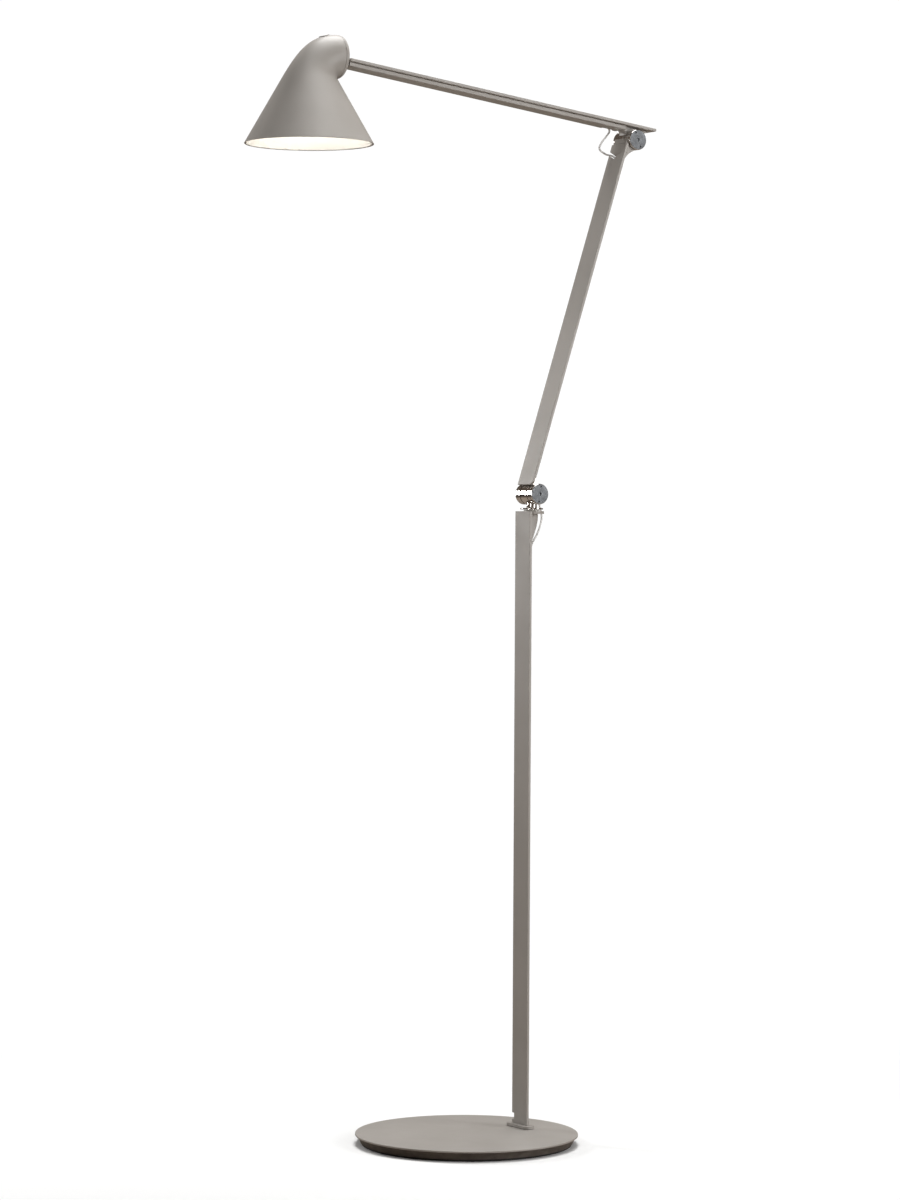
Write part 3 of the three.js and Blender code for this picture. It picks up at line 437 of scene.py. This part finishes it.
# %% [markdown]
# ## Turned steel
#
# The round end caps of the hinges come off a lathe, and the tool leaves fine rings that catch the
# light. Rings drawn as geometry would need thousands of faces. A ring-shaped wave about the
# piece's own axis does it in the material, once it has been roughened a little with noise so that
# no two rings are alike. For this each cap keeps its origin on its hinge's axis.

# %% Turn the steel
def turned_steel():
    """Rings about the piece's own Y axis, along which the hinges turn."""
    material = surface("turned steel", (0.060, 0.065, 0.071), (0.090, 0.096, 0.104), 0.38, 0.35,
                       mottle=70, spread=0.15)
    tree = material.node_tree
    shader = tree.nodes["Principled BSDF"]
    coordinates = add(tree, "ShaderNodeTexCoord")
    rings = add(tree, "ShaderNodeTexWave", wave_type="RINGS", rings_direction="Y")
    rings.inputs["Scale"].default_value = 620
    rings.inputs["Distortion"].default_value = 0.6
    rings.inputs["Detail Scale"].default_value = 2
    tree.links.new(coordinates.outputs["Object"], rings.inputs["Vector"])
    bump(tree, shader, rings.outputs["Fac"], 0.25, 0.00002)
    return material


finishes["steel"] = turned_steel()

# %% [markdown]
# ## The light and its boards
#
# The lamp is lit, so the opal sheet glows: brightest in the middle, over the board, and a little
# weaker towards its edge. A lamp object under it would give light with no visible source, so the
# sheet itself gives off the light. The boards behind it have their solder mask, with the darker
# shapes of tracks and chips from a cell pattern.

# %% Light the opal sheet
OPAL_GLOW = 15
GLOW_FADES_BY = 0.1                # metres from the middle of the sheet


def lit_opal():
    material, tree, shader = start_finish("lit opal sheet", 0.3)
    broad = noise(tree, 40)
    tree.links.new(ramp(tree, broad, 0.3, 0.7, (0.92, 0.89, 0.82), (0.97, 0.95, 0.89)),
                   shader.inputs["Base Color"])
    coordinates = add(tree, "ShaderNodeTexCoord")
    fade = add(tree, "ShaderNodeTexGradient", gradient_type="SPHERICAL")
    mapping = add(tree, "ShaderNodeMapping")
    mapping.inputs["Scale"].default_value = (1 / GLOW_FADES_BY,) * 3
    tree.links.new(coordinates.outputs["Object"], mapping.inputs["Vector"])
    tree.links.new(mapping.outputs["Vector"], fade.inputs["Vector"])
    glow = ramp(tree, fade.outputs["Fac"], 0.4, 1.0, (0.93, 0.91, 0.86), (1.0, 0.98, 0.94))
    tree.links.new(glow, shader.inputs["Emission Color"])
    shader.inputs["Emission Strength"].default_value = OPAL_GLOW
    bump(tree, shader, noise(tree, 1200), 0.3, 0.00003)
    return material


def circuit_board(name, mask, mask_light):
    material, tree, shader = start_finish(name, 0.4)
    coordinates = add(tree, "ShaderNodeTexCoord")
    cells = add(tree, "ShaderNodeTexVoronoi", feature="F1", distance="MANHATTAN")
    cells.inputs["Scale"].default_value = 260
    tree.links.new(coordinates.outputs["Object"], cells.inputs["Vector"])
    tracks = ramp(tree, cells.outputs["Distance"], 0.42, 0.5, mask, mask_light)
    tree.links.new(tracks, shader.inputs["Base Color"])
    bump(tree, shader, cells.outputs["Distance"], 0.4, 0.00004)
    return material


finishes["opal"] = lit_opal()
finishes["board"] = circuit_board("white circuit board", (0.72, 0.75, 0.71), (0.82, 0.85, 0.81))
finishes["green"] = circuit_board("green circuit board", (0.012, 0.09, 0.04), (0.03, 0.16, 0.08))

# %% Give every node its finish
for name, node in nodes.items():
    node.data.materials.clear()
    node.data.materials.append(finishes[slot_of[name]])
for tube in cords:
    tube.data.materials.append(finishes["cord"])
print("finished", len(nodes), "nodes")


# %% Put a piece in an engineering node's place
def fitted(piece, node):
    """Gives a piece the body of the node it stands for, and its finish if it has none."""
    if not piece.data.materials:
        piece.data.materials.append(finishes[slot_of[node]])
    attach(piece, nodes[node]["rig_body"])
    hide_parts(node)


# %% [markdown]
# ## The base
#
# The base is a cast disc under a thin sheet of painted steel. The sheet's edge is rolled over to
# a small radius, which draws a bright line round the base, and the casting steps back under it.
# A spun profile gives a true circle and those small radii. The slot for the upright is then cut
# through the sheet, as a punch would do it.

# %% Spin the base
plate_low, plate_high = (corner.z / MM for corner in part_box("base_plate"))
plate_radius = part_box("base_plate")[1].x / MM
ROLL = 0.8                         # radius of the sheet's rolled edge
bar_low, bar_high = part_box("upright_bar")
SLOT_ROOM = Vector((GAP, GAP, 0)) * MM
PUNCH_TOP = 20                     # anywhere above the sheet
ROUND = 160                        # flats round the large discs

plate = turned("base_plate_spun", [
    (0, plate_high), (plate_radius, plate_high, ROLL),
    (plate_radius, plate_low, 0.3), (0, plate_low),
], segments=ROUND)
cut_away(plate, block("slot",
                      Vector((bar_low.x, bar_low.y, 0)) - SLOT_ROOM,
                      Vector((bar_high.x, bar_high.y, PUNCH_TOP * MM)) + SLOT_ROOM))
fitted(plate, "base_plate")

weight_low, weight_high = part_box("base_weight")
STEP_IN, STEP_DOWN, NARROWING = 4, 3.6, 2.1
POCKET_REACH, POCKET_HALF = 9.7, 22.3   # past the bar's faces, and to each side of the middle
POCKET_LOW, POCKET_HIGH = -10, 50       # anywhere below and above the casting
waist = plate_radius - STEP_IN
weight = turned("base_weight_cast", [
    (0, weight_high.z / MM), (weight_high.x / MM, weight_high.z / MM, 0.3),
    (waist, plate_low - STEP_DOWN, 1.2),
    (waist - NARROWING, weight_low.z / MM, 0.6), (0, weight_low.z / MM),
], segments=ROUND)
pocket_room = Vector((POCKET_REACH, POCKET_HALF, 0)) * MM
cut_away(weight, block("pocket",
                       Vector((bar_low.x, 0, POCKET_LOW * MM)) - pocket_room,
                       Vector((bar_high.x, 0, POCKET_HIGH * MM)) + pocket_room))
fitted(weight, "base_weight")
pad_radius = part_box("base_pad")[1].x / MM
pad_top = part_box("base_pad")[1].z / MM
pad = turned("base_pad_cut", [
    (0, 0), (pad_radius, 0, 0.3), (pad_radius, pad_top, 0.3), (0, pad_top)], segments=120)
fitted(pad, "base_pad")
print("base", round(2 * plate_radius), "mm across")

# %% [markdown]
# ## Flat bars, covers and their fittings
#
# The upright and both arms are flat steel bar, and each has a folded cover behind it for the
# cord. Their shape is already right in the engineering model, apart from its perfectly sharp
# edges, which no real bar has: paint rounds them, and that round is what catches the light. So
# each is copied and bevelled. A bevel shader would fake it in the picture only.

# %% Dress the bars, covers and brackets
EDGES = {
    "upright_bar": 0.45, "lower_arm_bar": 0.45, "upper_arm_bar": 0.45,
    "upright_cover": 0.4, "lower_arm_cover": 0.4, "upper_arm_cover": 0.4,
    "foot_collar": 0.8, "cord_gland": 0.2, "foot_block": 0.4,
    "swivel_bracket": 0.35, "swivel_bush": 0.15,
    "weight_screw_1": 0.3, "weight_screw_2": 0.3, "weight_screw_3": 0.3,
    "foot_screw_left": 0.2, "foot_screw_right": 0.2, "swivel_screw": 0.2,
    "tilt_block": 0.5, "tilt_pin": 0.3,
}
for node, edge in EDGES.items():
    fitted(dressed(node, edge), node)
print("dressed", len(EDGES), "sawn pieces")

# %% [markdown]
# ## The hinges
#
# Each hinge is a barrel in three slices with a thick cap on each end. The slices are polished,
# while the webs that join them to the bars are painted like the rest. Two pieces with a seam
# between would be wrong, because the real knuckle and web are one: so at the elbow one mesh carries
# both finishes, and each face takes the one that suits where it lies. At the lower hinge the
# knuckle and the fork each keep the one finish of their slot.

# %% Find the hinge axes
def middle(node):
    low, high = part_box(node)
    return (low + high) / 2


hinges = {name: middle(f"{name}_spindle") for name in ("lower", "elbow")}
barrel = (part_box("swivel_knuckle")[1].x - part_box("swivel_knuckle")[0].x) / 2
print("hinge axes", {name: tuple(round(v, 4) for v in point) for name, point in hinges.items()})

# %% Dress the hinges
ON_BARREL = barrel * 1.012        # anything further out is web
ON_RIM = barrel * 0.94            # anything further in is a cap's turned face
FACES_OUT = 0.9                   # so much of a face's normal lies along the axis
KNUCKLE_EDGE, CAP_EDGE, WASHER_EDGE = 0.3, 0.12, 0.1


def polish_barrel(piece, centre, polished):
    """Gives the second finish to the faces that lie on a barrel."""
    piece.data.materials.append(polished)
    for face in piece.data.polygons:
        spots = [piece.data.vertices[v].co + piece.location - centre for v in face.vertices]
        if all(Vector((p.x, 0, p.z)).length < ON_BARREL for p in spots):
            face.material_index = 1


for node in ("swivel_knuckle", "lower_fork"):
    fitted(dressed(node, KNUCKLE_EDGE, hinges["lower"], 3), node)
for node in ("elbow_fork", "upper_arm_knuckle"):
    piece = dressed(node, KNUCKLE_EDGE, hinges["elbow"], 3)
    piece.data.materials.append(finishes["paint"])
    polish_barrel(piece, hinges["elbow"], finishes["chrome"])
    fitted(piece, node)

for name, centre in hinges.items():
    for side in ("left", "right"):
        cap = dressed(f"{name}_cap_{side}", CAP_EDGE, centre)
        cap.data.materials.append(finishes["steel"])
        cap.data.materials.append(finishes["chrome"])
        for face in cap.data.polygons:
            out = Vector((face.center.x, 0, face.center.z)).length
            face.material_index = int(out > ON_RIM and abs(face.normal.y) < FACES_OUT)
        fitted(cap, f"{name}_cap_{side}")
        washer = f"{name}_washer_{side}"
        fitted(dressed(washer, WASHER_EDGE, centre), washer)

# %% [markdown]
# ## The swivel
#
# Below the lower hinge a turned stud stands in a bush on the bracket, so that both arms can swing
# round. Its thin wide collar rests on the bush. It is spun from one profile, with small radii
# where the polisher's wheel has been.

# %% Spin the swivel stud
stud_low, stud_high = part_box("swivel_stud")
COLLAR, NECK, SHANK, BORE = 12.9, 5.8, 4, 2.3      # radii
COLLAR_THICK, BORE_DEEP = 1.6, 9
stud_foot, stud_top = stud_low.z / MM, stud_high.z / MM
collar_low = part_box("swivel_bush")[1].z / MM + GAP
collar_high = collar_low + COLLAR_THICK
stud = turned("swivel_stud_spun", [
    (0, stud_foot + BORE_DEEP), (BORE, stud_foot + BORE_DEEP), (BORE, stud_foot),
    (SHANK, stud_foot, 0.4), (SHANK, collar_low), (COLLAR, collar_low, 0.5),
    (COLLAR, collar_high, 0.6), (NECK, collar_high, 0.8), (NECK, stud_top), (0, stud_top),
], centre=(hinges["lower"].x, 0, 0))
fitted(stud, "swivel_stud")

# %% [markdown]
# ## The shade
#
# The shade is one spun and drawn sheet: a cone that bends over at the top into a short round
# neck. Rings placed round the bend's inner corner, each a little narrower than the last, give
# that flow better than joining a cone to a tube, which leaves a seam where they meet. The sheet
# has two faces and a rounded rim, and a round hole for the button is cut through it last.

# %% Draw the shade's rings
CONE_ANGLE = math.radians(29.8)
SLOPE = math.tan(CONE_ANGLE)
LEAN = math.cos(CONE_ANGLE)
WALL = 1.0
RIM_ROUND = 0.35
AROUND = 112                       # flats round the shade
CONE_HEIGHT = 71
FIRST_RING, CONE_RINGS = 0.02, 10  # the rim's own rings lie below the first
CORNER = 1.5                       # radius of the bend's inner corner
NECK_DIAMETER = 47.8
shade_low, shade_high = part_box("shade_shell")
rim_radius = shade_high.y / MM
rim_centre = Vector((shade_low.x + shade_high.y, 0, shade_low.z))
CAP_DEPTH = 7
face = (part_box("neck_cap")[1].x - rim_centre.x) / MM
join_at = face - CAP_DEPTH         # where the neck's cap meets the sheet
neck_end = join_at - GAP
corner_x = rim_radius - CONE_HEIGHT * SLOPE
pivot_x = corner_x + CORNER
neck_axis = CONE_HEIGHT + CORNER + NECK_DIAMETER / 2


def neck_width(angle):
    cone = 2 * corner_x
    fall = (cone + CORNER) * SLOPE * (math.pi / 2) / (cone - NECK_DIAMETER)
    return NECK_DIAMETER + (cone - NECK_DIAMETER) * max(0, 1 - angle / (math.pi / 2)) ** fall


def cone_ring(height, inset):
    radius = rim_radius - height * SLOPE - inset / LEAN
    return (radius, height), (-radius, height)


def bend_ring(angle, inset):
    near = CORNER + inset
    far = CORNER + neck_width(angle) - inset
    return tuple((pivot_x - d * math.cos(angle), CONE_HEIGHT + d * math.sin(angle))
                 for d in (near, far))


def sheet_rings(inset, steps=26):
    rings = [cone_ring(CONE_HEIGHT * (FIRST_RING + (1 - FIRST_RING) * k / CONE_RINGS), inset)
             for k in range(CONE_RINGS + 1)]
    rings += [bend_ring(math.pi / 2 * k / steps, inset) for k in range(1, steps + 1)]
    rings += [tuple((x, neck_axis + sign * (NECK_DIAMETER / 2 - inset)) for sign in (-1, 1))
              for x in (pivot_x + (neck_end - pivot_x) * k / 4 for k in (1, 2, 3, 4))]
    return rings


def shade_sheet():
    rim = [cone_ring(RIM_ROUND * (1 - math.sin(math.pi * t)), WALL * t)
           for t in (0.0, 0.17, 0.5, 0.83, 1.0)]
    rings = rim[::-1] + sheet_rings(0) + sheet_rings(WALL)[::-1]
    bm = bmesh.new()
    loops = []
    for (nx, nz), (fx, fz) in rings:
        half = math.hypot(fx - nx, fz - nz) / 2
        loop = []
        for k in range(AROUND):
            angle = 2 * math.pi * k / AROUND
            along = math.cos(angle)
            loop.append(bm.verts.new(rim_centre + MM * Vector((
                (nx + fx) / 2 + along * (fx - nx) / 2,
                math.sin(angle) * half,
                (nz + fz) / 2 + along * (fz - nz) / 2))))
        loops.append(loop)
    for a, b in zip(loops, loops[1:] + loops[:1]):
        for k in range(AROUND):
            bm.faces.new((a[k - 1], a[k], b[k], b[k - 1]))
    bmesh.ops.recalc_face_normals(bm, faces=bm.faces)
    return as_object("shade_sheet", bm)


# %% Cut the button's hole and fit the shade
BUTTON_PLACE = math.radians(74)
out_at_button = CORNER + neck_width(BUTTON_PLACE)
button_axis = Vector((-math.cos(BUTTON_PLACE), 0, math.sin(BUTTON_PLACE)))
pivot_point = rim_centre + Vector((pivot_x, 0, CONE_HEIGHT)) * MM


def on_button_axis(piece):
    """Turns a piece that was spun about Z so that Z points out of the bend at the button."""
    lean = Vector((0, 0, 1)).rotation_difference(button_axis).to_matrix().to_4x4()
    piece.data.transform(Matrix.Translation(pivot_point) @ lean @ piece.matrix_world)
    piece.matrix_world = Matrix.Identity(4)
    return piece


BUTTON, DRILL_REACH = 6, 8
hole = BUTTON + GAP
drill_from, drill_to = out_at_button - DRILL_REACH, out_at_button + DRILL_REACH
drill = on_button_axis(turned("drill", [
    (0, drill_from), (hole, drill_from), (hole, drill_to), (0, drill_to)]))
shade = cut_away(shade_sheet(), drill)
fitted(shade, "shade_shell")
print("shade", round(2 * rim_radius), "mm across, with", len(shade.data.polygons), "faces")

# %% [markdown]
# ## The neck's cap, the reflector and the button
#
# A pressed cap closes the neck, with a slot in it where the arm comes in, and a white spun
# reflector lines the cone. The button on the bend is a short turned piece with a dished top,
# where a finger finds it. All of them are round, so all are spun. The spring under the button is
# a wire swept along a coil. It has to get shorter when the button goes in, but here it is swept
# once at its length at rest and is bound to no body.

# %% Spin the neck's cap
CAP_ROUND, DOME, THICK = 5, 1.5, 1.8
SPIGOT_DEEP, SPIGOT_WALL = 4, 1.5
neck_radius = NECK_DIAMETER / 2
neck_centre = rim_centre + Vector((0, 0, neck_axis)) * MM
spigot = neck_radius - WALL - GAP
spigot_end = join_at - SPIGOT_DEEP
bore = spigot - SPIGOT_WALL
flat = neck_radius - CAP_ROUND     # radius of the domed face inside the rounded edge
dome = [(flat * k / 8, face - DOME * (k / 8) ** 2) for k in range(8)]
edge = [(flat + CAP_ROUND * math.sin(a), face - DOME - CAP_ROUND * (1 - math.cos(a)))
        for a in (math.pi / 2 * k / 10 for k in range(11))]
inside = face - DOME - THICK
cap = turned("neck_cap_pressed", dome + edge + [
    (neck_radius, join_at, 0.25), (spigot, join_at), (spigot, spigot_end, 0.3),
    (bore, spigot_end), (bore, inside - CAP_ROUND), (flat, inside), (0, inside),
], axis="X", centre=neck_centre)
ARM_SLOT = Vector((0, 8.5, 11)) * MM
past_the_cap = Vector((0.1, 0, 0))
cut_away(cap, block("slot", neck_centre - ARM_SLOT, neck_centre + ARM_SLOT + past_the_cap))
fitted(cap, "neck_cap")

# %% Spin the reflector
liner_low, liner_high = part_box("reflector")
foot = (liner_low.z - rim_centre.z) / MM
top = (liner_high.z - rim_centre.z) / MM
wide = (liner_high.y) / MM
narrow = wide - (top - foot) * SLOPE
THIN, LIP = 0.8, 4
reflector = turned("reflector_spun", [
    (wide, foot, 0.1), (narrow, top, 0.6), (narrow - LIP, top), (narrow - LIP, top - THIN),
    (narrow - THIN, top - THIN, 0.4), (wide - THIN, foot),
], centre=rim_centre, hollow=True, segments=AROUND)
fitted(reflector, "reflector")
opal_low, opal_high = (corner.z / MM - rim_centre.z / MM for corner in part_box("diffuser"))
opal_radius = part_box("diffuser")[1].y / MM
opal = turned("opal_sheet", [
    (0, opal_high), (opal_radius, opal_high, 0.4), (opal_radius, opal_low, 0.4), (0, opal_low),
], centre=rim_centre)
fitted(opal, "diffuser")

# %% Turn the button
PROUD, DISH, LIP_UNDER, BUTTON_LIP, BUTTON_HIGH = 0.6, 0.35, 1.7, 1.2, 5
button_top = out_at_button + PROUD
button_low = button_top - BUTTON_HIGH
lip_top = out_at_button - WALL - LIP_UNDER
lip_low = lip_top - BUTTON_LIP
lip_radius = BUTTON + BUTTON_LIP
button = on_button_axis(turned("button_turned", [
    (0, button_top - DISH), (3.2, button_top - 0.2), (BUTTON - 0.8, button_top, 0.3),
    (BUTTON, button_top - DISH, 0.3), (BUTTON, lip_top), (lip_radius, lip_top, 0.2),
    (lip_radius, lip_low, 0.2), (BUTTON, lip_low), (BUTTON, button_low, 0.3),
    (0, button_low)], segments=64))
fitted(button, "dimmer_button")

# %% Wind the button's spring
WIRE, COIL, TURNS, TURN_STEPS = 0.7, 3.6, 3, 16
SPRING_SHARE = 0.075               # of the neck's width
spring_high = button_low - GAP
spring_low = spring_high - SPRING_SHARE * NECK_DIAMETER
wound = TURNS * TURN_STEPS
coil = []
for k in range(wound + 1):
    angle = 2 * math.pi * k / TURN_STEPS
    height = spring_low + WIRE / 2 + (spring_high - spring_low - WIRE) * k / wound
    coil.append(Vector((COIL * math.cos(angle), COIL * math.sin(angle), height)) * MM)
spring = on_button_axis(swept("button_spring_wound", coil, WIRE, 8))
spring.data.materials.append(finishes["steel"])
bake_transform(spring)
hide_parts("button_spring")
print("spring", round(spring_high - spring_low, 1), "mm long")

# %% [markdown]
# ## The room
#
# A plain pale floor that runs on past the edge of the view, and soft light from large panels: two
# overhead, one in front, one to the right and a small one close on the left. Two more small ones
# behind the lamp are seen only as a soft sheen on the flat bars and as lines in the chrome.
#
# A white room lights a lamp evenly from all sides, and then nothing on it has a dark side. So
# the wall and the floor are white to the eye only: what they give back to the lamp, and what the
# chrome shows, is a dim warm brown. Real black cards beside the lamp would do the same, but they
# would have to be moved for every view.

# %% Lay the floor
def flat_sheet(name, corners, material):
    bm = bmesh.new()
    bm.faces.new([bm.verts.new(corner) for corner in corners])
    thing = as_object(name, bm)
    thing.data.materials.append(material)


FLOOR_REACH = 14
FLOOR_DROP = 0.0008                # the floor lies this far under the pad
PAPER_FADES_BY = 0.9               # metres from the lamp
WALL_WHITE = 1.02
DULL_PAPER = (0.34, 0.285, 0.24, 1)    # what the paper gives back to the lamp


def white_paper():
    """White paper near the lamp, which takes its shadows, and the wall's white far off."""
    material = surface("white paper", (0.975, 0.975, 0.97), (0.99, 0.99, 0.985), 0.8, mottle=1.5,
                       grain=300, strength=0.05)
    tree = material.node_tree
    coordinates = add(tree, "ShaderNodeTexCoord")
    mapping = add(tree, "ShaderNodeMapping")
    mapping.inputs["Scale"].default_value = (1 / PAPER_FADES_BY, 1 / PAPER_FADES_BY, 1)
    fade = add(tree, "ShaderNodeTexGradient", gradient_type="SPHERICAL")
    tree.links.new(coordinates.outputs["Object"], mapping.inputs["Vector"])
    tree.links.new(mapping.outputs["Vector"], fade.inputs["Vector"])
    wall = add(tree, "ShaderNodeEmission")
    wall.inputs["Strength"].default_value = WALL_WHITE
    mix = add(tree, "ShaderNodeMixShader")
    tree.links.new(ramp(tree, fade.outputs["Fac"], 0.0, 0.6, 0, 1), mix.inputs["Fac"])
    tree.links.new(wall.outputs["Emission"], mix.inputs[1])
    tree.links.new(tree.nodes["Principled BSDF"].outputs["BSDF"], mix.inputs[2])
    dull = add(tree, "ShaderNodeBsdfDiffuse")
    dull.inputs["Color"].default_value = DULL_PAPER
    ray = add(tree, "ShaderNodeLightPath")
    whole = add(tree, "ShaderNodeMixShader")
    tree.links.new(ray.outputs["Is Camera Ray"], whole.inputs["Fac"])
    tree.links.new(dull.outputs["BSDF"], whole.inputs[1])
    tree.links.new(mix.outputs["Shader"], whole.inputs[2])
    tree.links.new(whole.outputs["Shader"], tree.nodes["Material Output"].inputs["Surface"])
    return material


flat_sheet("floor", [(x * FLOOR_REACH, y * FLOOR_REACH, -FLOOR_DROP)
                     for x, y in ((-1, -1), (1, -1), (1, 1), (-1, 1))], white_paper())


# %% Hang the lights
def panel(name, place, aim, size, power):
    data = bpy.data.lights.new(name, "AREA")
    data.shape = "RECTANGLE"
    data.size, data.size_y = size
    data.energy = power
    lamp = bpy.data.objects.new(name, data)
    bpy.context.scene.collection.objects.link(lamp)
    lamp.visible_camera = False
    lamp.location = place
    lamp.rotation_euler = (Vector(aim) - Vector(place)).to_track_quat("-Z", "Y").to_euler()


PANELS = [                         # name, place, what it faces, size in metres, power
    ("overhead", (0.2, -0.3, 3.4), (0, 0, 0.2), (1.8, 1.8), 42),
    ("overhead, behind", (0.5, 0.7, 3.2), (0.1, 0, 0), (1.2, 1.2), 48),
    ("front", (-0.7, -3.3, 2.3), (0, 0, 0.9), (1.2, 1.6), 12),
    ("right side", (1.6, -2.6, 1.2), (0.05, 0, 0.7), (0.9, 1.6), 46),
    ("left, near", (-0.6, -0.45, 0.72), (0.09, 0, 0.72), (0.25, 0.3), 0.9),
    ("sheen on the upright", (-1.2, 1.8, 0.75), (0, 0, 0.75), (0.2, 0.2), 6.6),
    ("sheen on the lower arm", (-0.8, 1.68, 1.2), (0.1, 0, 0.8), (0.25, 0.25), 8.8),
]
for row in PANELS:
    panel(*row)
print("hung", len(PANELS), "panels")


# %% Light the room
GLOW = 0.03                        # how bright the wall is to anything dull
STUDIO = (0.13, 0.104, 0.085, 1)   # what anything glossy sees instead of the wall


def white_room():
    world = bpy.data.worlds.new("white room")
    bpy.context.scene.world = world
    world.use_nodes = True
    tree = world.node_tree
    backdrop = tree.nodes["Background"]
    backdrop.inputs["Color"].default_value = (1, 1, 1, 1)
    backdrop.inputs["Strength"].default_value = WALL_WHITE
    glow = add(tree, "ShaderNodeBackground")
    glow.inputs["Color"].default_value = (1, 0.985, 0.97, 1)
    glow.inputs["Strength"].default_value = GLOW
    studio = add(tree, "ShaderNodeBackground")
    studio.inputs["Color"].default_value = STUDIO
    ray = add(tree, "ShaderNodeLightPath")
    unseen = add(tree, "ShaderNodeMixShader")
    tree.links.new(ray.outputs["Is Glossy Ray"], unseen.inputs["Fac"])
    tree.links.new(glow.outputs["Background"], unseen.inputs[1])
    tree.links.new(studio.outputs["Background"], unseen.inputs[2])
    mix = add(tree, "ShaderNodeMixShader")
    tree.links.new(ray.outputs["Is Camera Ray"], mix.inputs["Fac"])
    tree.links.new(unseen.outputs["Shader"], mix.inputs[1])
    tree.links.new(backdrop.outputs["Background"], mix.inputs[2])
    tree.links.new(mix.outputs["Shader"], tree.nodes["World Output"].inputs["Surface"])


white_room()
bpy.context.scene.view_settings.view_transform = "Standard"
